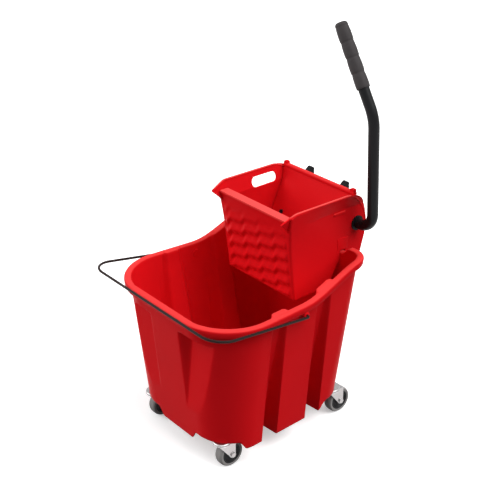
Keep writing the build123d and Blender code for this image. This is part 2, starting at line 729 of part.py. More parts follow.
# Flanged bushes in the end walls
for name, side in SIDES.items():
    with BuildPart() as shaft_bush:
        with Locations(Location((side * wall_in, SHAFT_Y, SHAFT_Z), (0, 90 * side, 0))):
            Cylinder(BUSH_R, BASKET_T, align=(Align.CENTER, Align.CENTER, Align.MIN))
        with Locations(Location((side * BASKET_HALF, SHAFT_Y, SHAFT_Z), (0, 90 * side, 0))):
            Cylinder(BUSH_FLANGE_R, BUSH_FLANGE_T, align=(Align.CENTER, Align.CENTER, Align.MIN))
            Cylinder(TUBE_R + RUN_FIT, SPAN, mode=Mode.SUBTRACT)
    finish(shaft_bush.part, f"shaft_bush_{name}")

# Lever: one bent tube whose lower leg is the shaft across the basket
flange_x = BASKET_HALF + BUSH_FLANGE_T
shaft_end_x = flange_x + SEAT_GAP + RETAINER_T + SHAFT_STUB
knee = Vector(LEVER_X, SHAFT_Y - (KNEE_Z - SHAFT_Z) * tan(radians(LEVER_LEAN)), KNEE_Z)
grip_dir = Vector(-sin(radians(GRIP_LEAN)), 0, cos(radians(GRIP_LEAN)))
grip_end = knee + grip_dir * GRIP_RUN
with BuildPart() as lever_tube:
    with BuildLine() as lever_path:
        FilletPolyline(
            (-shaft_end_x, SHAFT_Y, SHAFT_Z),
            (LEVER_X, SHAFT_Y, SHAFT_Z),
            knee,
            grip_end,
            radius=(LEVER_ELBOW_R, KNEE_R),
        )
    with BuildSketch(Plane(origin=lever_path.line @ 0, z_dir=lever_path.line % 0)):
        Circle(TUBE_R)
        Circle(TUBE_R - TUBE_T, mode=Mode.SUBTRACT)
    sweep()
    with Locations(*[(side * ARM_X, SHAFT_Y, SHAFT_Z) for side in SIDES.values()]):
        Cylinder(PIN_R + RUN_FIT, SPAN, rotation=(90, 0, 0), mode=Mode.SUBTRACT)
finish(lever_tube.part, "lever_tube")

# Grip: a ringed sleeve over the end of the tube
grip_sleeve = GRIP_L - GRIP_CAP
grip_plane = Plane(
    origin=grip_end - grip_dir * grip_sleeve,
    x_dir=(0, 1, 0),
    z_dir=(cos(radians(GRIP_LEAN)), 0, sin(radians(GRIP_LEAN))),
)
ring_l = grip_sleeve / GRIP_RINGS
with BuildPart() as lever_grip:
    with BuildSketch(grip_plane):
        Rectangle(GRIP_R, GRIP_L, align=(Align.MIN, Align.MIN))
        with Locations(*[(GRIP_R, ring_l * ring) for ring in range(1, GRIP_RINGS)]):
            Rectangle(2 * GROOVE_DEPTH, GROOVE_W, mode=Mode.SUBTRACT)
        Rectangle(
            TUBE_R + RUN_FIT,
            grip_sleeve,
            align=(Align.MIN, Align.MIN),
            mode=Mode.SUBTRACT,
        )
    revolve(axis=Axis(grip_plane.origin, grip_dir))
    fillet(lever_grip.edges().filter_by(GeomType.CIRCLE).sort_by(Axis.Z)[-1], GRIP_CAP / 2)
finish(lever_grip.part, "lever_grip")

# Retaining ring and plug at the shaft's free end
with BuildPart() as shaft_retainer:
    with Locations(Location((-flange_x - SEAT_GAP, SHAFT_Y, SHAFT_Z), (0, -90, 0))):
        Cylinder(BUSH_FLANGE_R - SEAT_GAP, RETAINER_T, align=(Align.CENTER, Align.CENTER, Align.MIN))
        Cylinder(TUBE_R + RUN_FIT, SPAN, mode=Mode.SUBTRACT)
finish(shaft_retainer.part, "shaft_retainer")

with BuildPart() as shaft_plug:
    with Locations(Location((-shaft_end_x, SHAFT_Y, SHAFT_Z), (0, -90, 0))):
        Cylinder(TUBE_R, TUBE_T, align=(Align.CENTER, Align.CENTER, Align.MIN))
        Cylinder(TUBE_R - TUBE_T - RUN_FIT, SHAFT_STUB, align=(Align.CENTER, Align.CENTER, Align.MAX))
finish(shaft_plug.part, "shaft_plug")


def involute(turn):
    """Point of the arm's face at rest that meets the pad after the lever has turned by turn.

    A string unwound from the base circle draws the face, so its contact with the flat pad stays
    level with the top of that circle and advances by the circle's radius per radian.
    """
    tangent = pi / 2 - turn
    free = CAM_LEAD + CAM_R * turn
    y = SHAFT_Y + CAM_R * cos(tangent) - free * sin(tangent)
    z = SHAFT_Z + CAM_R * sin(tangent) + free * cos(tangent)
    return (y, z)


# Drive arms: pinned on the shaft, each with an involute face ahead and a spring notch behind
swing = radians(LEVER_SWING)
lead_turn = -CAM_LEAD / CAM_R
turn_step = (swing - lead_turn) / CAM_STEPS
face_points = [involute(lead_turn + turn_step * step) for step in range(CAM_STEPS + 1)]
for name, side in SIDES.items():
    with BuildPart() as drive_arm:
        with BuildSketch(Plane.YZ.offset(side * ARM_X)):
            with BuildLine():
                face = Spline(*face_points)
                crown = JernArc(face @ 1, face % 1, ARM_CROWN_R, -CROWN_TURN)
                Polyline(
                    crown @ 1,
                    (SHAFT_Y + TOOTH_Y, SHAFT_Z + TOOTH_Z + TOOTH_PITCH),
                    (SHAFT_Y + NOTCH_Y, SHAFT_Z + TOOTH_Z + TOOTH_PITCH / 2),
                    (SHAFT_Y + TOOTH_Y, SHAFT_Z + TOOTH_Z),
                    (SHAFT_Y + ARM_HUB_R - WALL, SHAFT_Z),
                    (SHAFT_Y - TUBE_R / 2, SHAFT_Z),
                    face @ 0,
                )
            make_face()
            with Locations((SHAFT_Y, SHAFT_Z)):
                Circle(ARM_HUB_R)
                Circle(TUBE_R + RUN_FIT, mode=Mode.SUBTRACT)
        extrude(amount=ARM_T / 2, both=True)
        with Locations((side * ARM_X, SHAFT_Y, SHAFT_Z)):
            Cylinder(PIN_R + RUN_FIT, SPAN, rotation=(90, 0, 0), mode=Mode.SUBTRACT)
    finish(drive_arm.part, f"drive_arm_{name}")

with BuildPart() as arm_pins:
    with Locations(*[(side * ARM_X, SHAFT_Y, SHAFT_Z) for side in SIDES.values()]):
        Cylinder(PIN_R, 2 * ARM_HUB_R, rotation=(90, 0, 0))
finish(arm_pins.part, "arm_pins")

# Press plate: a leaning ribbed plate that slides along the basket, with a rolled top edge
with BuildPart() as press_plate:
    with BuildSketch(plate_plane):
        with BuildLine():
            Polyline(
                (-plate_half, 0),
                (plate_half, 0),
                (plate_half, flare_h),
                (plate_top_half, plate_h),
                (-plate_top_half, plate_h),
                (-plate_half, flare_h),
                close=True,
            )
        make_face()
    extrude(amount=PLATE_T / 2, both=True)
    with BuildSketch(plate_plane):
        with Locations(*[(side * x, RIB_START) for side in SIDES.values() for x in (RIB_INNER_X, rib_outer_x)]):
            Rectangle(RIB_T, plate_h - RIB_START - RIB_END_GAP, align=(Align.CENTER, Align.MIN))
    extrude(amount=-(PLATE_T / 2 + RIB_DEPTH))
    with Locations((0, plate_y(PLATE_TOP_Z), PLATE_TOP_Z)):
        Cylinder(PLATE_ROLL_R, 2 * roll_half, rotation=(0, 90, 0))
    for side in SIDES.values():
        with BuildSketch(Plane.XZ.offset(-plate_y(PLATE_TOP_Z))) as plate_ear:
            with Locations((side * (roll_half - PLATE_EAR_W / 2), PLATE_TOP_Z)):
                Rectangle(PLATE_EAR_W, PLATE_EAR_H, align=(Align.CENTER, Align.MIN))
            fillet(plate_ear.vertices().group_by(Axis.Z)[-1], PLATE_EAR_R)
        extrude(amount=PLATE_EAR_T / 2, both=True)
    with Locations((0, PLATE_FOOT_Y, foot_gap_z)):
        Box(
            2 * plate_half,
            PLATE_T,
            PLATE_FOOT_Z - foot_gap_z + PLATE_T,
            align=(Align.CENTER, Align.CENTER, Align.MIN),
        )
    for side in SIDES.values():
        with BuildSketch(Plane.YZ.offset(side * ARM_X)):
            with BuildLine():
                Polyline(
                    (plate_y(pad_z - PAD_H / 2), pad_z - PAD_H / 2),
                    (pad_back_y, pad_z - PAD_H / 2),
                    (pad_back_y, pad_z + PAD_H / 2),
                    (plate_y(pad_z + PAD_H / 2), pad_z + PAD_H / 2),
                    close=True,
                )
            make_face()
        extrude(amount=PAD_W / 2, both=True)
        with Locations(Location((side * ARM_X, pad_back_y, pad_z), (90, 0, 0))):
            Cylinder(
                PAD_STUD_R + RUN_FIT,
                PAD_STUD_L,
                align=(Align.CENTER, Align.CENTER, Align.MIN),
                mode=Mode.SUBTRACT,
            )
        with Locations(plate_plane.location * Pos(side * SPRING_X, anchor_h, 0)):
            Cylinder(SCREW_R + RUN_FIT, 2 * PLATE_T, mode=Mode.SUBTRACT)
finish(press_plate.part, "press_plate")

for name, side in SIDES.items():
    with BuildPart() as wear_pad:
        with Locations((side * ARM_X, pad_back_y, pad_z)):
            Box(PAD_W, PAD_T, PAD_H, align=(Align.CENTER, Align.MIN, Align.CENTER))
        with Locations(Location((side * ARM_X, pad_back_y, pad_z), (90, 0, 0))):
            Cylinder(PAD_STUD_R, PAD_STUD_L - SEAT_GAP, align=(Align.CENTER, Align.CENTER, Align.MIN))
    finish(wear_pad.part, f"wear_pad_{name}")

# Spring anchors: screws through the plate, with a stud behind for the spring's end
with BuildPart() as spring_anchors:
    for side in SIDES.values():
        with Locations(plate_plane.location * Pos(side * SPRING_X, anchor_h, PLATE_T / 2)):
            Cylinder(SCREW_HEAD_R, SCREW_HEAD_T, align=(Align.CENTER, Align.CENTER, Align.MIN))
            Cylinder(SCREW_R, PLATE_T + ANCHOR_L, align=(Align.CENTER, Align.CENTER, Align.MAX))
finish(spring_anchors.part, "spring_anchors")

# Return springs: close-wound bodies with straight ends, from the plate's studs to the rear cover
spring_l = cover_y - spring_y
for name, side in SIDES.items():
    with BuildPart() as return_spring:
        with Locations(Location((side * SPRING_X, spring_y, spring_z), (-90, 0, 0))):
            Cylinder(SPRING_WIRE_R, spring_l + COVER_T, align=(Align.CENTER, Align.CENTER, Align.MIN))
        with Locations(Location((side * SPRING_X, spring_y + SPRING_R, spring_z), (-90, 0, 0))):
            Cylinder(SPRING_R, spring_l - 2 * SPRING_R, align=(Align.CENTER, Align.CENTER, Align.MIN))
    finish(return_spring.part, f"return_spring_{name}")
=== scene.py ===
"""Looks of a wheeled mop bucket with a side-press wringer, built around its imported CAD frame.

All shapes are worked out in millimetres in the CAD frame: +Z up from the floor, -Y the tub's low
front end, +Y the wringer end, +X the side that carries the lever.
"""

import json
import math

import bmesh
import bpy
import numpy as np
from bpy.props import FloatProperty, FloatVectorProperty, IntProperty, PointerProperty
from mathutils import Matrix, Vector


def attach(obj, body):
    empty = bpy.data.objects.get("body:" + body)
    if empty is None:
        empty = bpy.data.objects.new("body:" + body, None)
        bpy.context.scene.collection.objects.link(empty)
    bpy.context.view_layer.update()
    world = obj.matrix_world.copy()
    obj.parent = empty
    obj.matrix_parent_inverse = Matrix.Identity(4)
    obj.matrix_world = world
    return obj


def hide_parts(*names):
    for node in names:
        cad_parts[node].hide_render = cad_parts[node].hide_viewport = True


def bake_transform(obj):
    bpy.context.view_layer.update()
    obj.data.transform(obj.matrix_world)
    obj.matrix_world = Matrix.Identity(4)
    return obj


bl_info = {
    "name": "Mop bucket looks",
    "version": (1, 0, 0),
    "blender": (4, 5, 0),
    "location": "View3D > Sidebar > Mop bucket",
    "description": "Builds the visible surfaces and finishes of a mop bucket with a side-press wringer",
    "category": "Object",
}

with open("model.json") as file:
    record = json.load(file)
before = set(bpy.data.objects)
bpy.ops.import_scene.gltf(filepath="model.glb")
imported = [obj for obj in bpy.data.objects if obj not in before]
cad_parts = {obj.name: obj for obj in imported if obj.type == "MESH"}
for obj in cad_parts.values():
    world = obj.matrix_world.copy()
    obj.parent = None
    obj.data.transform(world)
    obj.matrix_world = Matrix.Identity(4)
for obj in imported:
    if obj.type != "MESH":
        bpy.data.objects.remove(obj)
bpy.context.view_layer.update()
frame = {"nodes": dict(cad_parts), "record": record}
MM = 0.001
SIDES = {"left": -1.0, "right": 1.0}

# Tub, as in the CAD model
WALL = 4.0
FOOT_Z, RIM_FRONT_Z, RIM_REAR_Z = 50.0, 387.0, 440.0
FRONT_FOOT_Y, FRONT_TOP_Y, REAR_FOOT_Y, REAR_TOP_Y = -197.0, -237.0, 182.0, 194.0
FOOT_FRONT_HALF, TOP_FRONT_HALF, FOOT_REAR_HALF, TOP_REAR_HALF = 172.0, 216.0, 156.0, 187.5
FOOT_FRONT_R, TOP_FRONT_R, FOOT_REAR_R, TOP_REAR_R = 88.0, 120.0, 70.0, 34.0
RISE_START_Y, RISE_END_Y = 5.0, 190.0
FLOOR_Z = 78.0
LIP_T = 18.0
FLUTES = ((-63.0, 364.0), (73.0, 380.0))  # place along Y and top of each
FLUTE_FOOT_DEPTH, FLUTE_TOP_DEPTH, FLUTE_FOOT_HALF, FLUTE_TOP_HALF = 50.0, 9.0, 21.0, 10.0

# Casters
CASTER_X, CASTER_TRAIL, WHEEL_R, SWEEP_R = 129.0, 20.0, 32.5, 56.5
CASTERS = {
    "front_left": (-CASTER_X, -171.0),
    "front_right": (CASTER_X, -171.0),
    "rear_left": (-CASTER_X, 165.0),
    "rear_right": (CASTER_X, 165.0),
}
TREAD_R, TREAD_HALF, HUB_HALF, HUB_R, AXLE_R = 24.0, 11.5, 12.7, 8.0, 4.0

# Bail, basket, press and lever
BAIL_PIVOT_Y, BAIL_PIVOT_Z, BAIL_R, BAIL_RISE = 6.0, 362.0, 3.0, math.radians(8.2)
BAIL_ARM_X, BAIL_END_X, CAP_X, BAIL_CORNER_HALF, BAIL_FRONT_Y = 214.53, 187.0, 188.9, 232.0, -267.0
BAIL_END_R, BAIL_CORNER_R = 7.0, 48.0
EAR_IN_X, EAR_OUT_X = 186.0, 207.0
BASKET_HALF, BASKET_T, BASKET_TOP_Z = 115.0, 4.0, 563.0
FLARE_Z, FLARE_OUT = 527.0, 13.0
WALL_TOP, WALL_FOOT = (26.0, 545.0), (51.0, 344.0)  # (y, z) of the basket's leaning front wall
FLANGE_W = 18.0
SHAFT_Y, SHAFT_Z, TUBE_R, SHAFT_END_X = 240.0, 482.0, 12.7, 124.3
KNEE, SHAFT_BEND_R, KNEE_BEND_R = (165.0, 225.02, 750.0), 38.0, 90.0
GRIP_LEAN, GRIP_RUN, GRIP_L = math.radians(31.5), 212.0, 150.0
GRIP_RINGS, GRIP_DOME, GRIP_R, GRIP_OVER = 4, 8.0, 15.0, 6.0
PLATE_ROLL_Y, PLATE_ROLL_Z, PLATE_ROLL_HALF, PLATE_ROLL_R = 225.8, 558.0, 106.0, 6.4
SPRING_X, SPRING_Z, SPRING_R, SPRING_WIRE_R = 76.0, 455.6, 4.5, 0.9
SPRING_YS = (190.76, 264.0)


def smooth(t):
    """Smooth step: nought below 0, one above 1, and a cubic ease between."""
    t = np.clip(t, 0.0, 1.0)
    return t * t * (3.0 - 2.0 * t)


def between(low, high, share):
    """Value that runs straight from low to high as the share goes from 0 to 1."""
    return low + (high - low) * share


def steps(*runs):
    """Values in even steps, one run after another, each with its start, end and count."""
    return np.concatenate([np.linspace(*run) for run in runs])


def grid_faces(rows, cols, around, over=False):
    """Quads of a grid of points, row by row, closed round its columns and over its rows where asked."""
    i = np.arange(rows if over else rows - 1)[:, None]
    j = np.arange(cols if around else cols - 1)[None, :]
    k, m = (j + 1) % cols, (i + 1) % rows
    quads = np.stack([i * cols + j, i * cols + k, m * cols + k, m * cols + j], axis=-1)
    return quads.reshape(-1, 4).tolist()


def capped(points):
    """Points and faces of a grid that closes round its columns, each end closed by one flat face."""
    rows, cols = points.shape[:2]
    ring = np.arange(cols)
    faces = grid_faces(rows, cols, True) + [ring[::-1].tolist(), ((rows - 1) * cols + ring).tolist()]
    return points.reshape(-1, 3), faces


def poled(points, start_pole, end_pole):
    """Points and faces of a grid that closes round its columns, each end drawn in to a pole."""
    rows, cols = points.shape[:2]
    ring = np.arange(cols)
    after = np.roll(ring, -1)
    last = (rows - 1) * cols
    first_fan = np.stack([np.full(cols, rows * cols), after, ring], -1).tolist()
    last_fan = np.stack([np.full(cols, rows * cols + 1), last + ring, last + after], -1).tolist()
    flat = np.concatenate([points.reshape(-1, 3), [start_pole], [end_pole]])
    return flat, grid_faces(rows, cols, True) + first_fan + last_fan


def joined(shells):
    """Several shells of points and faces as one set."""
    points, faces, total = [], [], 0
    for shell_points, shell_faces in shells:
        points.append(shell_points)
        faces += [[index + total for index in face] for face in shell_faces]
        total += len(shell_points)
    return np.concatenate(points), faces


def both_sides(make):
    """The shell that make gives for the left side and the one for the right, as one set."""
    return joined([make(side) for side in SIDES.values()])


def turned(profile, origin, axis, steps):
    """Grid of a profile of (radius, distance along the axis) carried round the axis."""
    profile = np.asarray(profile, float)
    axis = np.asarray(axis, float) / np.linalg.norm(axis)
    side = np.cross(axis, (0.0, 0.0, 1.0) if abs(axis[2]) < 0.9 else (1.0, 0.0, 0.0))
    side /= np.linalg.norm(side)
    other = np.cross(axis, side)
    turn = np.linspace(0.0, 2.0 * np.pi, steps, endpoint=False)
    ring = np.cos(turn)[:, None] * side + np.sin(turn)[:, None] * other
    return np.asarray(origin, float) + profile[:, None, 1:2] * axis + profile[:, None, 0:1] * ring


def lathe(profile, origin, axis, steps):
    """Turned solid: an open profile carried round the axis, with a flat face at each end."""
    return capped(turned(profile, origin, axis, steps))


def lathe_ring(profile, origin, axis, steps):
    """Turned ring: a closed profile carried round the axis."""
    points = turned(profile, origin, axis, steps)
    return points.reshape(-1, 3), grid_faces(*points.shape[:2], True, True)


def tube(path, radius, sides, beside):
    """Round section carried along a path; beside is a direction that the path never runs along."""
    path = np.asarray(path, float)
    tangent = np.gradient(path, axis=0)
    tangent /= np.linalg.norm(tangent, axis=1)[:, None]
    across = np.cross(tangent, beside)
    across /= np.linalg.norm(across, axis=1)[:, None]
    up = np.cross(tangent, across)
    turn = np.linspace(0.0, 2.0 * np.pi, sides, endpoint=False)
    ring = np.cos(turn)[None, :, None] * across[:, None] + np.sin(turn)[None, :, None] * up[:, None]
    return capped(path[:, None] + np.asarray(radius, float).reshape(-1, 1, 1) * ring)


def rounded_path(points, radii, gap):
    """Line through points, its inner corners rounded by arcs with a point about every gap."""
    points = [np.asarray(point, float) for point in points]
    line = [points[0][None]]
    for before, corner, after, radius in zip(points, points[1:], points[2:], radii):
        back = (before - corner) / np.linalg.norm(before - corner)
        ahead = (after - corner) / np.linalg.norm(after - corner)
        angle = np.arccos(np.clip(back @ ahead, -1.0, 1.0))
        middle = back + ahead
        centre = corner + middle / np.linalg.norm(middle) * radius / np.sin(angle / 2)
        reach = radius / np.tan(angle / 2)
        first, last = corner + back * reach - centre, corner + ahead * reach - centre
        sweep = np.pi - angle
        t = np.linspace(0.0, 1.0, max(6, int(radius * sweep / gap)))[:, None]
        line.append(centre + (np.sin((1 - t) * sweep) * first + np.sin(t * sweep) * last) / np.sin(sweep))
    line.append(points[-1][None])
    return np.concatenate(line)


def slab(outline, place, depth, edge):
    """Flat piece of a counter-clockwise outline with rounded edges.

    The outline is drawn in by the edge's quarter circle towards both faces; place turns the
    outline's two coordinates and the distance through the piece into points.
    """
    outline = np.asarray(outline, float)
    ahead = np.roll(outline, -1, 0) - outline
    ahead /= np.linalg.norm(ahead, axis=1)[:, None]
    run = ahead + np.roll(ahead, 1, 0)
    run /= np.linalg.norm(run, axis=1)[:, None]
    inward = np.stack([-run[:, 1], run[:, 0]], -1)
    turn = np.linspace(0.0, np.pi / 2, 5)
    inset = edge * (1.0 - np.sin(turn))
    level = edge * (1.0 - np.cos(turn))
    inset = np.concatenate([inset, inset[::-1]])
    level = np.concatenate([level, depth - level[::-1]])
    flat = outline[None] + inward[None] * inset[:, None, None]
    return capped(place(flat[..., 0], flat[..., 1], np.broadcast_to(level[:, None], flat.shape[:2])))


def make_piece(name, shell, body, slot, replaced=(), crease=40.0, painted_sheen_weight=None):
    """Mesh object of a shell in millimetres, riding on a body, with sharp edges over the crease angle.

    Its finish is the one of its slot. The last argument, one value or one per point, sets how much painted
    highlight, a paler colour, goes on the faces that look up.
    """
    points, faces = shell
    mesh = bpy.data.meshes.new(name)
    mesh.from_pydata((np.asarray(points) * MM).tolist(), [], faces)
    work = bmesh.new()
    work.from_mesh(mesh)
    bmesh.ops.recalc_face_normals(work, faces=work.faces)
    work.to_mesh(mesh)
    work.free()
    mesh.validate()
    mesh.polygons.foreach_set("use_smooth", np.ones(len(mesh.polygons), bool))
    mesh.set_sharp_from_angle(angle=math.radians(crease))
    # painted highlight: faces that look up get a paler colour mixed in, standing in for the sheen of light on
    # them
    if painted_sheen_weight is not None:
        normal = np.empty(3 * len(mesh.vertices), np.float32)
        mesh.vertices.foreach_get("normal", normal)
        values = np.broadcast_to(painted_sheen_weight, len(mesh.vertices)) * smooth((normal[2::3] - 0.25) / 0.6)
        rubbed = mesh.attributes.new("rubbed", "FLOAT", "POINT")
        rubbed.data.foreach_set("value", values.astype(np.float32))
    mesh.materials.append(finishes(bpy.context.scene)[slot])
    piece = bpy.data.objects.new(name, mesh)
    bpy.context.scene.collection.objects.link(piece)
    if body:
        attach(piece, body)
    if replaced:
        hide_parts(*replaced)
    return piece


# Finishes
GRAIN_DEPTH = 0.0004  # in metres
TONE_DARK, TONE_LIGHT = 0.9, 1.1


def fill(node, values):
    """Set a node's inputs by name."""
    for name, value in values.items():
        node.inputs[name].default_value = value


def new_group(name, inputs, outputs):
    """Shader node group with named number sockets, and its nodes for what comes in and goes out."""
    group = bpy.data.node_groups.new(name, "ShaderNodeTree")
    for label, default in inputs.items():
        item = group.interface.new_socket(name=label, in_out="INPUT", socket_type="NodeSocketFloat")
        item.default_value = default
    for label in outputs:
        group.interface.new_socket(name=label, in_out="OUTPUT", socket_type="NodeSocketFloat")
    return group, group.nodes.new("NodeGroupInput"), group.nodes.new("NodeGroupOutput")


def moulded_group():
    """Fine moulded grain and slow tone changes, in object coordinates, as two values from 0 to 1."""
    scales = {"Grain scale": 900.0, "Tone scale": 6.0}
    group, enter, leave = new_group("Moulded grain", scales, ("Grain", "Tone"))
    nodes, links = group.nodes, group.links
    place = nodes.new("ShaderNodeTexCoord")
    grain, tone = nodes.new("ShaderNodeTexNoise"), nodes.new("ShaderNodeTexNoise")
    fill(grain, {"Detail": 3.0})
    fill(tone, {"Detail": 4.0, "Roughness": 0.55})
    links.new(place.outputs["Object"], grain.inputs["Vector"])
    links.new(place.outputs["Object"], tone.inputs["Vector"])
    links.new(enter.outputs["Grain scale"], grain.inputs["Scale"])
    links.new(enter.outputs["Tone scale"], tone.inputs["Scale"])
    links.new(grain.outputs["Fac"], leave.inputs["Grain"])
    links.new(tone.outputs["Fac"], leave.inputs["Tone"])
    return group


def scuff_group():
    """Sparse fine scuffs: stretched noise cut to its top, as a mask from 0 to 1."""
    group, enter, leave = new_group("Scuffs", {"Scale": 14.0, "Start": 0.66}, ("Mask",))
    nodes, links = group.nodes, group.links
    place, stretch = nodes.new("ShaderNodeTexCoord"), nodes.new("ShaderNodeMapping")
    fill(stretch, {"Rotation": (0.4, 0.7, 0.3), "Scale": (1.0, 9.0, 2.0)})
    noise, cut = nodes.new("ShaderNodeTexNoise"), nodes.new("ShaderNodeMapRange")
    fill(noise, {"Detail": 6.0, "Roughness": 0.7})
    fill(cut, {"From Max": 0.85})
    links.new(place.outputs["Object"], stretch.inputs["Vector"])
    links.new(stretch.outputs["Vector"], noise.inputs["Vector"])
    links.new(enter.outputs["Scale"], noise.inputs["Scale"])
    links.new(noise.outputs["Fac"], cut.inputs["Value"])
    links.new(enter.outputs["Start"], cut.inputs["From Min"])
    links.new(cut.outputs["Result"], leave.inputs["Mask"])
    return group


def shared(name, make):
    """A shader node group by name, built the first time it is asked for."""
    return bpy.data.node_groups.get(name) or make()


def colour_mix(nodes, links, factor, first, second):
    """Colour that runs from first to second with a factor; each is a colour or a colour output."""
    mix = nodes.new("ShaderNodeMix")
    mix.data_type = "RGBA"
    links.new(factor, mix.inputs["Factor"])
    for name, colour in (("A", first), ("B", second)):
        if isinstance(colour, bpy.types.NodeSocket):
            links.new(colour, mix.inputs[name])
        else:
            mix.inputs[name].default_value = (*colour, 1.0)
    return mix.outputs["Result"]


def finish_material(
    name, colour, rough, bump, grain_scale, tone_scale, metallic, scuff, specular, rubbed=None
):
    """Principled finish: slow tone changes, fine grain as bump, scuffed gloss and a paler colour painted on
    as a highlight.
    """
    material = bpy.data.materials.new(name)
    material.use_nodes = True
    nodes, links = material.node_tree.nodes, material.node_tree.links
    shader = nodes["Principled BSDF"]
    fill(shader, {"Metallic": metallic, "Specular IOR Level": specular})
    grain = nodes.new("ShaderNodeGroup")
    grain.node_tree = shared("Moulded grain", moulded_group)
    fill(grain, {"Grain scale": grain_scale, "Tone scale": tone_scale})
    dark, light = shade(colour, TONE_DARK), shade(colour, TONE_LIGHT)
    base = colour_mix(nodes, links, grain.outputs["Tone"], dark, light)
    # painted highlight: the piece's attribute mixes in a paler colour on faces that look up
    if rubbed:
        sheen_mask = nodes.new("ShaderNodeAttribute")
        sheen_mask.attribute_name = "rubbed"
        base = colour_mix(nodes, links, sheen_mask.outputs["Fac"], base, rubbed)
    links.new(base, shader.inputs["Base Color"])
    marks = nodes.new("ShaderNodeGroup")
    marks.node_tree = shared("Scuffs", scuff_group)
    gloss = nodes.new("ShaderNodeMapRange")
    fill(gloss, {"To Min": rough, "To Max": rough + scuff})
    links.new(marks.outputs["Mask"], gloss.inputs["Value"])
    links.new(gloss.outputs["Result"], shader.inputs["Roughness"])
    relief = nodes.new("ShaderNodeBump")
    fill(relief, {"Strength": bump, "Distance": GRAIN_DEPTH})
    links.new(grain.outputs["Grain"], relief.inputs["Height"])
    links.new(relief.outputs["Normal"], shader.inputs["Normal"])
    return material


def shade(colour, factor):
    """A colour made darker or lighter by a factor."""
    return tuple(min(1.0, part * factor) for part in colour[:3])


def finishes(scene):
    """All finishes by record slot, made once."""
    look = scene.bucket_finish
    # colour, roughness, bump, grain scale, tone scale, metallic, scuff, specular, and for the red the paler
    # colour of its painted highlight
    wanted = {
        "red_plastic": (look.red, 0.38, 0.15, 900.0, 5.0, 0.0, 0.12, 0.015, tuple(look.rubbed)),
        "black_tube": (look.black, 0.34, 0.25, 700.0, 9.0, 0.0, 0.16, 0.1),
        "grip_rubber": (look.grip, 0.62, 0.6, 800.0, 30.0, 0.0, 0.12, 0.25),
        "dark_wire": (look.wire, 0.4, 0.3, 900.0, 25.0, 0.0, 0.2, 0.06),
        "zinc_steel": (look.zinc, 0.27, 0.2, 260.0, 90.0, 1.0, 0.2, 0.5),
        "spring_steel": (look.zinc, 0.3, 0.2, 500.0, 60.0, 1.0, 0.15, 0.5),
        "black_plastic": (look.black, 0.45, 0.2, 900.0, 20.0, 0.0, 0.15, 0.05),
        "wheel_core": (look.black, 0.5, 0.35, 900.0, 25.0, 0.0, 0.15, 0.2),
        "grey_tread": (look.tread, 0.6, 0.5, 700.0, 40.0, 0.0, 0.15, 0.2),
    }
    names = {slot: f"{slot} finish" for slot in wanted}  # the frame's own plain materials have the bare names
    return {slot: bpy.data.materials.get(names[slot]) or finish_material(names[slot], *values)
            for slot, values in wanted.items()}


# Tub


def rise(low, high, z):
    """Value at height z that runs straight from low at the foot to high at the rear rim."""
    return low + (high - low) * (z - FOOT_Z) / (RIM_REAR_Z - FOOT_Z)


def rim_z(y):
    """Height of the rim line: level ahead, a smooth rise along the sides, level behind."""
    share = smooth((y - RISE_START_Y) / (RISE_END_Y - RISE_START_Y))
    return between(RIM_FRONT_Z, RIM_REAR_Z, share)


FRONT_STEPS, CORNER_STEPS, SIDE_STEPS, REAR_CORNER_STEPS, REAR_STEPS = 3, 44, 6, 22, 44


def outline_sizes(z):
    """Sizes of the outline at heights z: corner radii, end lines, wall lean and corner middles."""
    front_half, rear_half = rise(FOOT_FRONT_HALF, TOP_FRONT_HALF, z), rise(FOOT_REAR_HALF, TOP_REAR_HALF, z)
    front_r, rear_r = rise(FOOT_FRONT_R, TOP_FRONT_R, z), rise(FOOT_REAR_R, TOP_REAR_R, z)
    front_y, rear_y = rise(FRONT_FOOT_Y, FRONT_TOP_Y, z), rise(REAR_FOOT_Y, REAR_TOP_Y, z)
    lean = np.arctan2(front_half - rear_half, rear_y - front_y)
    front_x = front_half - front_r / np.tan((np.pi / 2 - lean) / 2)
    rear_x = rear_half - rear_r / np.tan((np.pi / 2 + lean) / 2)
    return front_half, front_r, rear_r, front_y, rear_y, lean, front_x, rear_x


def inside_corner(points):
    """Points drawn in to the middle of the wall where they stand past the round of a tub corner."""
    x, y, z = points.T
    _, front_r, rear_r, front_y, rear_y, _, front_x, rear_x = outline_sizes(z)
    ahead = y < 0.0
    radius = np.where(ahead, front_r, rear_r)
    middle_x = np.where(ahead, front_x, rear_x)
    middle_y = np.where(ahead, front_y + front_r, rear_y - rear_r)
    away_x, away_y = np.abs(x) - middle_x, y - middle_y
    share = np.minimum(1.0, (radius - WALL / 2.0) / np.hypot(away_x, away_y))
    return np.stack([np.sign(x) * (middle_x + away_x * share), middle_y + away_y * share, z], axis=-1)


FRONT_RUN, SIDE_RUN = 0, 4  # the two runs of columns with fixed places


def outline_columns():
    """Columns along the right half of the outline, from the front's middle to the rear's middle.

    Gives each column's run, its share of that run and its fixed place: x on the first run of the
    front and y on the middle run of the side, set close by the recesses so that these stay sharp.
    """
    front_xs = steps((0.0, 44.0, 5), (46.0, 76.0, 16))
    flank = steps((8.0, 20.0, 8), (20.5, 28.0, 16))
    flanks = [middle + way * flank for middle, _ in FLUTES for way in (-1.0, 1.0)]
    side_ys = np.unique(np.concatenate([np.linspace(-102.0, 108.0, 15), *flanks]))
    to_corner, to_fixed = (np.arange(1, count + 1) / (count + 1) for count in (FRONT_STEPS, SIDE_STEPS))
    shares = (0.0 * front_xs, to_corner, np.linspace(0.0, 1.0, CORNER_STEPS), to_fixed,
              0.0 * side_ys, to_fixed, np.linspace(0.0, 1.0, REAR_CORNER_STEPS),
              np.arange(1, REAR_STEPS + 1) / REAR_STEPS)
    run = np.repeat(np.arange(len(shares)), [len(share) for share in shares])
    fixed = np.zeros(len(run))
    fixed[run == FRONT_RUN], fixed[run == SIDE_RUN] = front_xs, side_ys
    return run, np.concatenate(shares), fixed


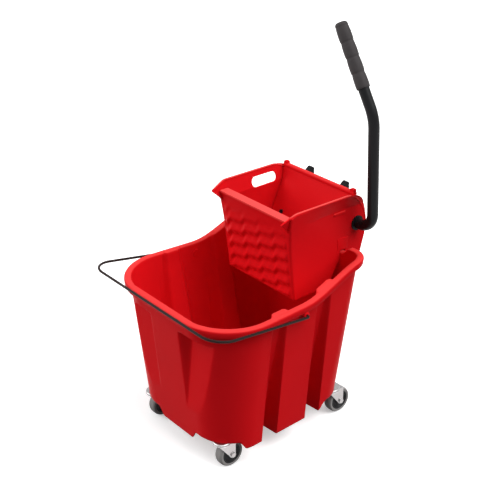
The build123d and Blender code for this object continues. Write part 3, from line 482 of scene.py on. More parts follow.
def half_outline(z, run, share, fixed):
    """Right half of the tub's outline at heights z, one row of them per profile step.

    It is a trapezium with rounded corners, whose sizes run straight from foot to rear rim. Gives
    x, y and the outward direction.
    """
    front_half, front_r, rear_r, front_y, rear_y, lean, front_x, rear_x = outline_sizes(z)
    corner_y, rear_corner_y, square = front_y + front_r, rear_y - rear_r, np.pi / 2
    fixed_xs, fixed_ys = fixed[run == FRONT_RUN], fixed[run == SIDE_RUN]
    parts = [run <= 1, run == 2, run <= 5, run == 6]  # front, front corner, side, rear corner; else the rear
    corner_way, rear_way = -square + (square + lean) * share, lean + (square - lean) * share
    way = np.select(parts, [-square, corner_way, lean, rear_way], square)
    before = between(corner_y + front_r * np.sin(lean), fixed_ys[0], share)
    behind = between(fixed_ys[-1], rear_corner_y + rear_r * np.sin(lean), share)
    side_y = np.select([run < SIDE_RUN, run == SIDE_RUN], [before, fixed], behind)
    ys = [front_y, corner_y + front_r * np.sin(way), side_y, rear_corner_y + rear_r * np.sin(way)]
    y = np.select(parts, ys, rear_y)
    ahead = np.where(run == FRONT_RUN, fixed, between(fixed_xs[-1], front_x, share))
    side_x = front_half - (y - front_y) * np.tan(lean)
    xs = [ahead, front_x + front_r * np.cos(way), side_x, rear_x + rear_r * np.cos(way)]
    return np.select(parts, xs, rear_x * (1.0 - share)), y, np.cos(way), np.sin(way)


FLANK_FOOT, FLANK_GROWTH, FLANK_SOFTENING = 2.0, 11.0, 16.0  # width of a channel's flank
FLUTE_END_ABOVE, FLUTE_END_EASE = 6.0, 16.0  # how a channel runs out over its top


def flute_depth(y, z, grow, to_rim):
    """Depth of the side channels: deep with steep flanks at the foot, shallow and soft at the lip."""
    total = np.zeros_like(z)
    for middle, top in FLUTES:
        share = np.clip((z - FOOT_Z) / (top - FOOT_Z), 0.0, 1.0)
        depth = between(FLUTE_FOOT_DEPTH, FLUTE_TOP_DEPTH, share)
        if not to_rim:
            depth = depth * smooth((top + FLUTE_END_ABOVE - z) / FLUTE_END_EASE)
        away = np.abs(y - middle) - (between(FLUTE_FOOT_HALF, FLUTE_TOP_HALF, share) + grow)
        flank = FLANK_FOOT + FLANK_GROWTH * share + FLANK_SOFTENING * grow * share * (1.0 - share)
        total = np.maximum(total, depth * smooth(1.0 - away / flank))
    return total


PANEL_FOOT_SLOPE, PANEL_LEDGE = 2.0, 6.0


def panel_depth(x, z, grow, look):
    """Depth of the two recessed panels in the front: a slope by the middle, then level to the corner."""
    share = np.clip((z - look.panel_foot_z) / (look.panel_top_z - look.panel_foot_z), 0.0, 1.0)
    slope = between(PANEL_FOOT_SLOPE, look.panel_slope, share)
    part = np.clip((np.abs(x) - look.panel_x + grow) / slope, 0.0, 1.0)
    ledge = smooth((look.panel_top_z + grow + PANEL_LEDGE / 2.0 - z) / PANEL_LEDGE)
    return look.panel_depth * share * (0.6 * part + 0.4 * smooth(part)) * ledge


LIP = ((1.0, -20.6), (3.2, -18.9), (6.0, -18.0), (11.0, -18.0), (12.5, -17.4), (13.0, -15.8),
       (13.0, -6.0), (12.5, -3.4), (11.2, -1.5), (9.2, -0.4), (7.0, 0.0), (3.5, 0.0), (0.0, 0.0),
       (-1.6, -0.3), (-3.0, -1.2), (-3.8, -2.6))  # (outward offset, height above the rim line)
LIP_INNER_STEP, LIP_FACE_STEP = 12, 5  # where the lip's inner edge and its upright face start
LIP_EASE, INNER_DROP = 5.0, 4.2  # from the lip's foot to the outer wall, from the rim to the inner wall
# strength of the painted highlight on the rim's lip and top, and how the rim bumps ease in
RIM_PAINTED_SHEEN, BUMP_EASE = 0.45, 6.0
RIM_GUESS, RIM_TURNS = 400.0, 6  # first height tried, and how often it is mended
DIP_OUT_X, DIP_OUT_EASE, DIP_IN_X, DIP_IN_EASE, DIP_FRONT_Y = 144.0, 20.0, 106.0, 8.0, 186.0
FOOT_EDGE, FOOT_EDGE_IN, ARCH_FLAT, FLOOR_ROUND = 1.2, 1.0, 4.0, 12.0
MIDDLE_SHARE = 0.004  # how near the floor's last row comes to its middle line


def rim_line(level, columns, look):
    """Heights of the rim along the outline: its rise, read in turns from y at that height, less the dips."""
    rim = level + RIM_GUESS
    for _ in range(RIM_TURNS):
        rim = rim_z(half_outline(rim, *columns)[1])
    x, y = half_outline(rim, *columns)[:2]
    dip = look.notch * smooth((DIP_OUT_X - x) / DIP_OUT_EASE) * smooth((x - DIP_IN_X) / DIP_IN_EASE)
    return rim - dip * (y > DIP_FRONT_Y)


def foot_line(level, columns, look):
    """Heights of the foot along the outline: level, with an eased arch over each caster's sweep."""
    x, y = half_outline(level + FOOT_Z, *columns)[:2]
    near = np.min([np.hypot(x - CASTER_X + look.arch_in, y - CASTERS[name][1] + look.arch_fore)
                   for name in ("front_right", "rear_right")], 0)
    arch = smooth((SWEEP_R + look.arch_ease - near) / (look.arch_ease + ARCH_FLAT))
    return between(FOOT_Z, look.arch_z, arch)


def tub_rows(level, rim, foot):
    """Rows of the tub's profile in order, and the row where the lip starts.

    Gives each row's kind, its heights, and its outward offset or, under the floor, its share of
    the way out from the middle line.
    """
    under, wall_foot, wall_top = FLOOR_Z - WALL, foot + FOOT_EDGE, rim - LIP_T - LIP_EASE
    inner_top, inner_foot = rim - INNER_DROP, FLOOR_Z + FLOOR_ROUND
    wall = steps((0.0, 0.88, 46), (0.885, 0.95, 16), (0.96, 1.0, 6))
    inner = steps((0.0, 0.3, 18), (0.32, 1.0, 36))
    rows = [("under", level + under, share) for share in np.linspace(MIDDLE_SHARE, 1.0, 7)]
    rows += [("inside", between(under, wall_foot, share), -WALL) for share in np.linspace(0.0, 1.0, 5)[1:]]
    rows += [("outer", foot, FOOT_EDGE_IN - WALL), ("outer", foot, -FOOT_EDGE_IN)]
    rows += [("outer", between(wall_foot, wall_top, share), 0.0) for share in wall]
    lip_start = len(rows)
    rows += [("lip" if out >= 0.0 else "inside", rim + up, out) for out, up in LIP]
    rows += [("inside", between(inner_top, inner_foot, share), -WALL) for share in inner]
    rows += [("inside", level + FLOOR_Z + FLOOR_ROUND * (1.0 - np.sin(turn)),
              -WALL - FLOOR_ROUND * (1.0 - np.cos(turn))) for turn in np.linspace(0.0, np.pi / 2, 7)[1:]]
    kinds, heights, offsets = zip(*rows)
    return np.array(kinds)[:, None], np.concatenate(heights), np.array(offsets, float)[:, None], lip_start


def tub_shell(look):
    """The tub's closed skin, as one profile carried round the outline.

    From the middle line of the floor's underside the profile runs out to the skirt, down its inside,
    round the foot, up the outer wall with its channels and panels, out under the lip and round
    it, over the flat rim, down the inner wall with the ridges of those channels, and in over the
    floor to its middle line. Gives the shell and how much painted highlight each point gets.
    """
    run, _, fixed = columns = outline_columns()
    level = np.zeros((1, len(run)))
    rim, foot = rim_line(level, columns, look), foot_line(level, columns, look)
    kinds, z, out, lip_start = tub_rows(level, rim, foot)
    outer, lip, under = kinds == "outer", kinds == "lip", kinds == "under"
    x, y, nx, ny = half_outline(z, *columns)
    line_y = np.clip(y, *fixed[run == SIDE_RUN][[0, -1]])
    front_y = rise(FRONT_FOOT_Y, FRONT_TOP_Y, z)
    sunk, raised = flute_depth(y, z, 0.0, False), flute_depth(y, z, WALL, True)
    side = nx > 0.9
    inward = np.where(side, np.where(outer, sunk, np.where(lip, 0.0, raised)), 0.0)
    offset = np.where(under, -WALL, out) - inward
    x, y = x + nx * offset, y + ny * offset
    y = np.where(outer, np.maximum(y, front_y + panel_depth(x, z, 0.0, look)), y)
    y = np.where(outer | lip | under, y, np.maximum(y, front_y + WALL + panel_depth(x, z, WALL, look)))
    lip_end = lip_start + len(LIP)
    bump = slice(lip_start + LIP_INNER_STEP, lip_end)
    past = np.min([np.abs(y[bump] - middle) for middle, _ in FLUTES], 0) - look.bump_half
    z[bump] += look.bump_h * smooth(-past / BUMP_EASE) * side[bump]
    x, y = np.where(under, x * out, x), np.where(under, between(line_y, y, out), y)
    inset = np.linspace(0.9, MIDDLE_SHARE, 7)[:, None]
    x = np.concatenate([x, x[-1:] * inset])
    y = np.concatenate([y, between(line_y[-1:], y[-1:], inset)])
    z = np.concatenate([z, np.repeat(z[-1:], len(inset), axis=0)])
    # painted highlight on the lip and the flat rim, where they look up
    painted_sheen_weight = np.zeros_like(x)
    painted_sheen_weight[lip_start + LIP_FACE_STEP:lip_end + 3] = RIM_PAINTED_SHEEN
    right = np.stack([x, y, z], axis=-1)
    left = right[:, ::-1] * (-1.0, 1.0, 1.0)
    points = np.concatenate([right, left[:, 1:-1]], axis=1)
    painted_sheen_weight = np.concatenate([painted_sheen_weight, painted_sheen_weight[:, ::-1][:, 1:-1]], axis=1)
    middle_y = (FRONT_FOOT_Y + REAR_FOOT_Y) / 2.0
    shell = poled(points, (0.0, 0.0, FLOOR_Z - WALL), (0.0, middle_y, FLOOR_Z))
    return shell, np.append(painted_sheen_weight.ravel(), (0.0, 0.0))


# Settings


def number(name, description, default):
    """A plain number that a user can change."""
    return FloatProperty(name=name, description=description, default=default)


def tint(name, description, default):
    """A colour that a user can change."""
    return FloatVectorProperty(name=name, description=description, subtype="COLOR", default=default)


class TubLook(bpy.types.PropertyGroup):
    """Shapes of the tub's wall, in millimetres."""

    panel_x: number("Panel edge", "Inner edge of a recessed front panel", 49.0)
    panel_slope: number("Panel slope", "Width of the slope at a panel's top", 28.0)
    panel_top_z: number("Panel top", "Height of a panel's top", 338.0)
    panel_foot_z: number("Panel foot", "Height where a panel runs out", 137.0)
    panel_depth: number("Panel depth", "Depth of a panel at its top", 21.0)
    arch_z: number("Caster arch", "Height of the foot over the casters", 72.0)
    arch_ease: number("Arch ease", "How far an arch eases into the foot", 14.0)
    arch_in: number("Arch inset", "How far an arch lies inside its caster", 8.0)
    arch_fore: number("Arch advance", "How far an arch lies ahead of its caster", 10.0)
    bump_h: number("Rim bump", "Rise of the rim over an inner ridge", 3.0)
    bump_half: number("Rim bump half", "Half the length of a rim bump", 24.0)
    notch: number("Notch", "Dip of the rear rim beside the wringer", 17.0)


class WringerLook(bpy.types.PropertyGroup):
    """Shapes of the wringer, in millimetres."""

    wave_pitch: number("Wave pitch", "Width of one wave on the front wall", 52.3)
    row_pitch: number("Row pitch", "Height of one row of waves", 31.5)
    row_climb: number("Row climb", "Rise of a row per millimetre towards +X", 0.345)
    wave_swing: number("Wave swing", "Rise and fall of a row", 3.4)
    wave_depth: number("Wave depth", "How far a crest stands out", 4.5)
    bead_r: number("Bead radius", "Rolled top edge of the end walls", 3.0)
    spring_turns: IntProperty(name="Spring turns", description="Turns of a return spring", default=26)


class BucketFinish(bpy.types.PropertyGroup):
    """Colours of the finishes."""

    red: tint("Red", "Moulded plastic", (0.7, 0.007, 0.011))
    # paler red painted on the faces that look up, as a highlight on the rim and the basket's edges
    rubbed: tint("Sheen red", "Red painted paler on faces that look up", (0.85, 0.085, 0.08))
    black: tint("Black", "Tube and small parts", (0.012, 0.012, 0.013))
    grip: tint("Grip", "Grip sleeve", (0.035, 0.03, 0.031))
    wire: tint("Wire", "Bail wire", (0.022, 0.013, 0.012))
    zinc: tint("Zinc", "Plated steel", (0.42, 0.41, 0.41))
    tread: tint("Tread", "Wheel treads", (0.25, 0.24, 0.235))


class BUCKET_OT_carried(bpy.types.Operator):
    """Give every carried-over CAD piece its finish"""

    bl_idname = "bucket.carried"
    bl_label = "Carried-over pieces"

    def execute(self, context):
        made = finishes(context.scene)
        for entry in frame["record"]["subparts"]:
            node = frame["nodes"][entry["node"]]
            node.data.materials.clear()
            node.data.materials.append(made[entry["material_slot"]])
        # these two have a dark finish in place of their slot's zinc
        frame["nodes"]["spring_anchors"].data.materials[0] = made["black_plastic"]
        return {"FINISHED"}


STEM_SOCKET = ((15.5, FLOOR_Z - 2.0), (14.2, FLOOR_Z + 2.0), (13.6, 100.0), (12.8, 102.6), (10.6, 104.0))
EAR_L = EAR_OUT_X - EAR_IN_X
BAIL_EAR = ((9.0, 0.0), (8.4, EAR_L - 2.0), (7.4, EAR_L - 0.6), (6.0, EAR_L))


class BUCKET_OT_tub(bpy.types.Operator):
    """Build the moulded tub with its caster sockets and bail ears"""

    bl_idname = "bucket.tub"
    bl_label = "Tub"

    def execute(self, context):
        shell, painted_sheen_weight = tub_shell(context.scene.tub_look)
        make_piece("tub_skin", shell, "bucket", "red_plastic", ("bucket_tub",), painted_sheen_weight=painted_sheen_weight)
        points, faces = joined([lathe(STEM_SOCKET, (x, y, 0.0), (0, 0, 1), 40) for x, y in CASTERS.values()])
        make_piece("stem_sockets", (inside_corner(points), faces), "bucket", "red_plastic")
        ears = both_sides(lambda side: lathe(
            BAIL_EAR, (side * EAR_IN_X, BAIL_PIVOT_Y, BAIL_PIVOT_Z), (side, 0, 0), 32))
        make_piece("bail_ears", ears, "bucket", "red_plastic")
        return {"FINISHED"}


SKIN_LIFT, SKIN_R, SKIN_CORNER_Y = 1.6, 5.5, 29.9  # lift off the CAD wall, corner radius and where it ends
SKIN_LEFT_END_Y, SKIN_END_Y = 108.0, 186.0  # rear ends; the left one stops short of the hand hole
SKIN_FOOT_Z, SKIN_FRONT_Z, SKIN_SIDE_Z = 344.6, 544.0, 561.6
SKIN_SUNK, SKIN_EDGE_SUNK = 1.5, 1.0  # how deep its back and its edge are let into the walls
SKIN_REAR_LIFT, SKIN_FADE_Y, SKIN_FADE_RUN = 0.2, 40.0, 60.0
SKIN_EAR_Y, SKIN_EAR_Z, SKIN_EAR_SLOPE = 6.5, 546.6, 0.435  # top line of the front ears
SKIN_HEEL_Y, SKIN_HEEL_SLOPE = 150.0, 1.62  # how the foot climbs at the rear
FRONT_COLS, ARC_COLS, SIDE_COLS = 110, 10, 40
CURVE_Z, CURVE_MORE, CURVE_FADE_Y, CURVE_FADE_RUN = 430.0, 0.4, 60.0, 100.0
WAVE_X, WAVE_Z, WAVE_TUCK, WAVE_HALF = 14.0, 413.0, 0.42, 110.0
WAVE_TOP_FADE, WAVE_FOOT_FADE, WAVE_RIGHT_FADE, WAVE_LEFT_FADE = 90.0, 10.0, 9.0, 12.0


def skin_flare(y, z, eased):
    """How far the end walls lean out at height z: the CAD kink, eased to a slow curve by the front."""
    kink = FLARE_OUT * np.clip((z - FLARE_Z) / (BASKET_TOP_Z - FLARE_Z), 0.0, 1.0)
    curve = (FLARE_OUT + CURVE_MORE) * np.clip((z - CURVE_Z) / (BASKET_TOP_Z - CURVE_Z), 0.0, 1.0) ** 2
    return kink + eased * (curve - kink) * (1.0 - smooth((y - CURVE_FADE_Y) / CURVE_FADE_RUN))


def wave_relief(x, z, look):
    """Height of the waves on the front wall.

    Rows of waves climb slowly towards +X. Each row falls a little along a wave and then steps up;
    below its crest the face tucks back in, and the waves fade towards the top and the borders.
    """
    turn = 2.0 * np.pi * (x + WAVE_X) / look.wave_pitch
    sway = look.wave_swing * (0.5 * np.sin(2.0 * turn) - np.sin(turn))
    phase = (WAVE_Z + look.row_climb * (x + WAVE_X) + sway - z) / look.row_pitch
    part = phase - np.floor(phase)
    tucked, risen = 1.0 - part / WAVE_TUCK, (part - WAVE_TUCK) / (1.0 - WAVE_TUCK)
    crest = np.where(part < WAVE_TUCK, smooth(tucked), smooth(risen))
    fade = smooth((WALL_TOP[1] - 6.0 - z) / WAVE_TOP_FADE) * smooth((z - WALL_FOOT[1] - 1.0) / WAVE_FOOT_FADE)
    ends = smooth((WAVE_HALF - x) / WAVE_RIGHT_FADE) * smooth((x + WAVE_HALF) / WAVE_LEFT_FADE)
    return look.wave_depth * crest * fade * ends


def basket_skin(look):
    """Outer skin of the basket's front wall and end walls, one sheet round both front corners.

    The sheet runs level from one end wall round the front to the other, its corners rounded, a
    little off the CAD walls, with the waves on its front. Its edge and its back are let into the walls.
    """
    side_share = np.append(np.linspace(0.0, 0.997, SIDE_COLS)[1:], 1.0)
    front_share, arc_share = np.linspace(0.0, 1.0, FRONT_COLS), np.linspace(0.0, 1.0, ARC_COLS + 1)[1:]
    share = np.concatenate([front_share, arc_share, side_share])[None]
    kinds = np.repeat([0, 1, 2], (FRONT_COLS, ARC_COLS, SIDE_COLS))[None]
    front, arc, side = (kinds == kind for kind in range(3))
    t = steps((0.0, 0.005, 2), (0.012, 0.988, 170), (0.995, 1.0, 2))[:, None]

    def layer(lift, radius, end_y, way):
        """One face of the sheet from its middle to one end: its lift off the CAD walls fades rearwards."""
        run = np.where(side, between(SKIN_CORNER_Y, end_y, share), SKIN_CORNER_Y)
        edge_z = np.minimum(SKIN_SIDE_Z, SKIN_EAR_Z + SKIN_EAR_SLOPE * (run - SKIN_EAR_Y))
        climb = np.where(arc, smooth(share), 1.0)
        top = np.where(front, SKIN_FRONT_Z, between(SKIN_FRONT_Z, edge_z, climb))
        foot = SKIN_FOOT_Z + np.clip(run - SKIN_HEEL_Y, 0.0, None) * SKIN_HEEL_SLOPE
        z = between(foot, top, t)
        (foot_y, foot_z), (top_y, top_z) = WALL_FOOT, WALL_TOP
        plane = foot_y + (top_y - foot_y) * (z - foot_z) / (top_z - foot_z)
        edge = np.zeros_like(z, bool)
        edge[[0, -1]], edge[:, -1] = lift > 0.0, lift > 0.0
        middle_y = plane - lift + radius
        y = np.where(front, plane - lift, np.where(side, between(middle_y, end_y, share), middle_y))
        fade = 1.0 - smooth((y - SKIN_FADE_Y) / SKIN_FADE_RUN) if lift > 0.0 else 1.0
        lifted = between(SKIN_REAR_LIFT, lift, fade)
        half = BASKET_HALF + np.where(edge, -SKIN_EDGE_SUNK, lifted) + skin_flare(y, z, lift > 0.0)
        bend = (share - 1.0) * np.pi / 2
        arc_x, arc_y = half - radius + radius * np.cos(bend), middle_y + radius * np.sin(bend)
        x = np.where(front, (half - radius) * share, np.where(arc, arc_x, half))
        y = np.where(arc, arc_y, np.where(edge & front, y + lift + SKIN_EDGE_SUNK, y))
        if lift > 0.0:
            y = y - np.where(front & ~edge, wave_relief(way * x, z, look), 0.0)
        return np.stack([way * x, y, z], -1)

    shells = []
    for lift, radius in ((SKIN_LIFT, SKIN_R), (-SKIN_SUNK, SKIN_R - SKIN_LIFT - SKIN_SUNK)):
        left, right = layer(lift, radius, SKIN_LEFT_END_Y, -1.0), layer(lift, radius, SKIN_END_Y, 1.0)
        shells.append(np.concatenate([left[:, :0:-1], right], 1))
    rows, cols = shells[0].shape[:2]
    total = rows * cols
    face = np.asarray(grid_faces(rows, cols, False))
    loop = np.concatenate([
        np.arange(cols), np.arange(1, rows) * cols + cols - 1,
        (rows - 1) * cols + np.arange(cols - 2, -1, -1), np.arange(rows - 2, 0, -1) * cols])
    after = np.roll(loop, -1)
    border = np.stack([loop, after, after + total, loop + total], -1)
    faces = np.concatenate([face, face[:, ::-1] + total, border]).tolist()
    return np.concatenate([shell.reshape(-1, 3) for shell in shells]), faces


EDGE_FRONT = ((5.5, 546.5, 0.0), (41.0, 562.0, 0.0), (186.0, 562.0, 0.0))  # corners as y, z and nought
EDGE_FRONT_R, EDGE_RIGHT_START = 30.0, (24.0, 554.6)
SHOULDER_START, SHOULDER_END = (190.0, BASKET_TOP_Z), (267.0, SHAFT_Z)


def end_wall_edge(side):
    """Line along the top edge of one end wall, from its curled front corner over the rear shoulder."""
    t = np.linspace(0.0, 1.0, 26)[:, None]
    start, end = np.array(SHOULDER_START), np.array(SHOULDER_END)
    span = np.linalg.norm(end - start)
    first, last = np.array([1.0, 0.0]) * span, np.array([0.0, -1.0]) * span
    shoulder = ((2 * t**3 - 3 * t**2 + 1) * start + (t**3 - 2 * t**2 + t) * first
                + (3 * t**2 - 2 * t**3) * end + (t**3 - t**2) * last)
    ahead = rounded_path(EDGE_FRONT, (EDGE_FRONT_R,), 4.0)[:, :2]
    if side > 0.0:
        ahead[0] = EDGE_RIGHT_START
    y, z = np.concatenate([ahead, shoulder - (0.0, 1.0)]).T
    return np.stack([side * (BASKET_HALF - BASKET_T / 2 + skin_flare(y, z, False)), y, z], -1)


def rectangle(low, high):
    """Corners of a rectangle, counter-clockwise from its low corner."""
    return low, (high[0], low[1]), high, (low[0], high[1])


def on_end_walls(outline, out, depth, edge):
    """The same flat piece on both end walls, its inner face at a distance out from the middle."""
    return both_sides(lambda side: slab(
        outline, lambda u, v, w: np.stack([side * (out + w), u, v], -1), depth, edge))


# Outlines of flat pieces on the wringer, in y and z
FLANGE_BAND = rectangle((WALL_TOP[0] - 4.0, 541.0), (WALL_TOP[0] + FLANGE_W + 0.6, 546.2))
WALL_RIB, RIM_WEB = rectangle((164.0, 519.0), (200.0, 524.0)), rectangle((180.0, 427.0), (214.0, 456.0))
FLANGE_HALF = BASKET_HALF - 0.5
SPRING_STEPS, SPRING_EASE = 18, 14.0


def add_springs(look):
    """Two coiled springs between the plate and the rear cover, their ends drawn in to the middle line."""
    turns = np.linspace(0.0, 1.0, look.spring_turns * SPRING_STEPS + 1)
    body_ys = (SPRING_YS[0] + SPRING_R, SPRING_YS[1] - 2.0 * SPRING_R)
    angle = 2.0 * np.pi * look.spring_turns * turns
    ease = np.minimum(smooth(turns * SPRING_EASE), smooth((1.0 - turns) * SPRING_EASE))
    for name, side in SIDES.items():
        coil = np.stack([side * SPRING_X + (SPRING_R - SPRING_WIRE_R) * ease * np.cos(angle),
                         between(*body_ys, turns),
                         SPRING_Z + (SPRING_R - SPRING_WIRE_R) * ease * np.sin(angle)], -1)
        ends = np.array([[side * SPRING_X, y, SPRING_Z] for y in SPRING_YS])
        wire = tube(np.concatenate([ends[:1], coil, ends[1:]]), SPRING_WIRE_R, 8, (0.03, 1, 0.02))
        spring = make_piece(f"coil_{name}", wire, None, "spring_steel", (f"return_spring_{name}",))
        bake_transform(spring)


class BUCKET_OT_wringer(bpy.types.Operator):
    """Build the basket's waved front, edges, ribs and webs, the plate's rolled top and the springs"""

    bl_idname = "bucket.wringer"
    bl_label = "Wringer"

    def execute(self, context):
        look = context.scene.wringer_look
        make_piece("basket_skin", basket_skin(look), "wringer", "red_plastic", crease=60.0)
        # the beads, flange, plate roll and ribs get the painted highlight on faces that look up
        beads = both_sides(lambda side: tube(end_wall_edge(side), look.bead_r, 14, (1, 0, 0)))
        make_piece("wall_beads", beads, "wringer", "red_plastic", painted_sheen_weight=1.0)
        flange = slab(
            FLANGE_BAND, lambda u, v, w: np.stack([w - FLANGE_HALF, u, v], -1), 2.0 * FLANGE_HALF, 1.6)
        make_piece("front_flange", flange, "wringer", "red_plastic", painted_sheen_weight=1.0)
        roll = [(share * PLATE_ROLL_HALF, PLATE_ROLL_Y, PLATE_ROLL_Z) for share in (-1.0, 0.0, 1.0)]
        make_piece("plate_roll", tube(roll, PLATE_ROLL_R, 28, (0, 0, 1)), "press", "red_plastic", painted_sheen_weight=0.4)
        ribs = on_end_walls(WALL_RIB, BASKET_HALF - 1.0, 4.0, 1.5)
        make_piece("wall_ribs", ribs, "wringer", "red_plastic", painted_sheen_weight=0.5)
        webs = on_end_walls(RIM_WEB, BASKET_HALF - 0.6, 2.0, 0.8)
        make_piece("rim_webs", webs, "wringer", "red_plastic")
        add_springs(look)
        return {"FINISHED"}


def grip_profile():
    """Profile of the grip from its foot: rings that swell and taper, then a domed end."""
    s = np.linspace(0.0, 1.0, 22)
    length = (GRIP_L - GRIP_DOME) / GRIP_RINGS
    rings = [np.stack([GRIP_R + np.sin(np.pi * s) ** 0.6 - 0.9 * s, (ring + 0.03 + 0.94 * s) * length], -1)
             for ring in range(GRIP_RINGS)]
    turn = np.linspace(0.0, np.pi / 2, 10)
    top = np.stack([9.0 + 5.6 * np.cos(turn), GRIP_L - GRIP_DOME + GRIP_DOME * np.sin(turn)], -1)
    return np.concatenate([[(13.2, 0.0), (14.6, 0.2)], *rings, top])


class BUCKET_OT_lever(bpy.types.Operator):
    """Build the bent lever tube and its ringed grip"""

    bl_idname = "bucket.lever"
    bl_label = "Lever"

    def execute(self, context):
        way = np.array([-math.sin(GRIP_LEAN), 0.0, math.cos(GRIP_LEAN)])
        end = np.array(KNEE) + way * GRIP_RUN
        corners = [(-SHAFT_END_X, SHAFT_Y, SHAFT_Z), (KNEE[0], SHAFT_Y, SHAFT_Z), KNEE, end]
        path = rounded_path(corners, (SHAFT_BEND_R, KNEE_BEND_R), 2.5)
        make_piece("bent_tube", tube(path, TUBE_R, 44, (0, 1, 0)), "lever", "black_tube", ("lever_tube",))
        grip = lathe(grip_profile(), end - way * (GRIP_L - GRIP_OVER), way, 56)
        make_piece("ringed_grip", grip, "lever", "grip_rubber", ("lever_grip",))
        return {"FINISHED"}


CAP_DOME = ((5.6, 0.0), (5.5, 1.0), (4.9, 1.9), (3.6, 2.5), (1.6, 2.8))


class BUCKET_OT_bail(bpy.types.Operator):
    """Build the bent bail wire and its end caps"""

    bl_idname = "bucket.bail"
    bl_label = "Bail"

    def execute(self, context):
        rise_sin, rise_cos = math.sin(BAIL_RISE), math.cos(BAIL_RISE)
        reach = (BAIL_PIVOT_Y - BAIL_R - BAIL_FRONT_Y) / rise_cos
        flat = [(-BAIL_END_X, 0.0), (-BAIL_ARM_X, 0.0), (-BAIL_CORNER_HALF, reach),
                (BAIL_CORNER_HALF, reach), (BAIL_ARM_X, 0.0), (BAIL_END_X, 0.0)]
        points = [(x, BAIL_PIVOT_Y - run * rise_cos, BAIL_PIVOT_Z + run * rise_sin) for x, run in flat]
        path = rounded_path(points, (BAIL_END_R, BAIL_CORNER_R, BAIL_CORNER_R, BAIL_END_R), 2.0)
        wire = tube(path, BAIL_R, 18, (0.0, rise_sin, rise_cos))
        make_piece("bail_wire", wire, "bail", "dark_wire", ("bail_handle",))
        caps = both_sides(lambda side: lathe(
            CAP_DOME, (side * CAP_X, BAIL_PIVOT_Y, BAIL_PIVOT_Z), (-side, 0, 0), 28))
        make_piece("cap_domes", caps, "bail", "red_plastic", ("bail_caps",))
        return {"FINISHED"}


# Profiles of the casters as radius and place along the axis
CORE_SIDE = ((AXLE_R + 0.1, HUB_HALF), (HUB_R - 1.0, HUB_HALF), (HUB_R, HUB_HALF - 0.8), (HUB_R + 1.6, 5.4),
             (HUB_R + 3.4, 4.2), (18.4, 4.2), (19.8, 5.2), (21.4, 10.6), (22.2, 11.3), (TREAD_R - 0.05, 11.3))
UPPER_RACE = ((14.0, 69.2), (19.0, 69.0), (20.6, 69.6), (21.2, 71.0), (20.8, 72.6), (19.6, 73.6),
              (14.0, 73.8))
LOWER_RACE = ((15.0, 66.2), (19.6, 66.0), (20.8, 66.7), (20.8, 67.9), (19.8, 68.6), (15.0, 68.6))
CROWN_DROP, GROOVE_DEPTH = 3.2, 0.35


def tread_profile():
    """Profile of a tread: rounded shoulders and shallow grooves round its face."""
    half = np.linspace(-1.0, 1.0, 61)
    groove = smooth((np.cos(half * 3.0 * np.pi) - 0.86) / 0.14)
    crown = WHEEL_R - CROWN_DROP * np.abs(half) ** 4 - GROOVE_DEPTH * groove
    first = [(TREAD_R, -TREAD_HALF + 0.8), (TREAD_R + 1.2, -TREAD_HALF)]
    last = [(TREAD_R + 1.2, TREAD_HALF), (TREAD_R, TREAD_HALF - 0.8)]
    return np.concatenate([first, np.stack([crown, half * TREAD_HALF], -1), last])


class BUCKET_OT_casters(bpy.types.Operator):
    """Build the wheels' treads and cores and the casters' race rings"""

    bl_idname = "bucket.casters"
    bl_label = "Casters"

    def execute(self, context):
        side = np.array(CORE_SIDE)
        core_profile = np.concatenate([side * (1, -1), side[::-1]])
        for place, (x, y) in CASTERS.items():
            hub, stem = (x, y + CASTER_TRAIL, WHEEL_R), (x, y, 0.0)
            tread, core = (lathe_ring(profile, hub, (1, 0, 0), steps)
                           for profile, steps in ((tread_profile(), 96), (core_profile, 72)))
            make_piece(f"tread_{place}", tread, f"wheel_{place}", "grey_tread", (f"wheel_tread_{place}",))
            make_piece(f"core_{place}", core, f"wheel_{place}", "wheel_core", (f"wheel_core_{place}",))
            upper, lower = (lathe_ring(profile, stem, (0, 0, 1), 56) for profile in (UPPER_RACE, LOWER_RACE))
            make_piece(f"race_{place}", upper, "bucket", "zinc_steel")
            make_piece(f"crown_{place}", lower, f"swivel_{place}", "zinc_steel")
        return {"FINISHED"}


class StageLook(bpy.types.PropertyGroup):
    """Camera and light."""

    lens: number("Lens", "Focal length on a 36 mm sensor", 80.15)
    left: number("Left", "Strength of the soft light from the front left", 2.1)
    right: number("Right", "Strength of the soft light from the rear right", 2.05)
    top: number("Top", "Strength of the soft light overhead", 1.4)
    sky: number("Sky", "Strength of the even light", 0.2)
    floor_glow: number("Glow", "White that the floor adds for the camera", 0.4)
    floor_bounce: number("Bounce", "Share of light that the floor throws back", 0.1)


# Camera and stage, in metres
CAMERA_TARGET, CAMERA_DISTANCE = (0.0164, -0.0181, 0.4736), 2.3995
CAMERA_AZIMUTH, CAMERA_RISE = math.radians(50.522), math.radians(25.916)
SENSOR_W, CLIP_END, FLOOR_HALF, LAMP_AWAY = 36.0, 50.0, 6.0, 3.0
FLOOR_WHITE, WHITE = 0.95, (1.0, 1.0, 1.0, 1.0)
LAMPS = {  # where each shines from, and how wide it is in degrees
    "left": ((-0.6, -0.7, 0.5), 50.0),
    "right": ((0.8, 0.35, 0.9), 50.0),
    "top": ((0.3, 0.1, 1.0), 60.0),
}


def soft_sun(name, towards, strength, spread):
    """Wide distant lamp that shines from a direction, as even over the floor as a studio ceiling."""
    data = bpy.data.lights.new(name, "SUN")
    data.energy = strength
    data.angle = math.radians(spread)
    lamp = bpy.data.objects.new(name, data)
    lamp.location = Vector(towards).normalized() * LAMP_AWAY
    lamp.rotation_euler = (-Vector(towards)).to_track_quat("-Z", "Y").to_euler()
    bpy.context.scene.collection.objects.link(lamp)


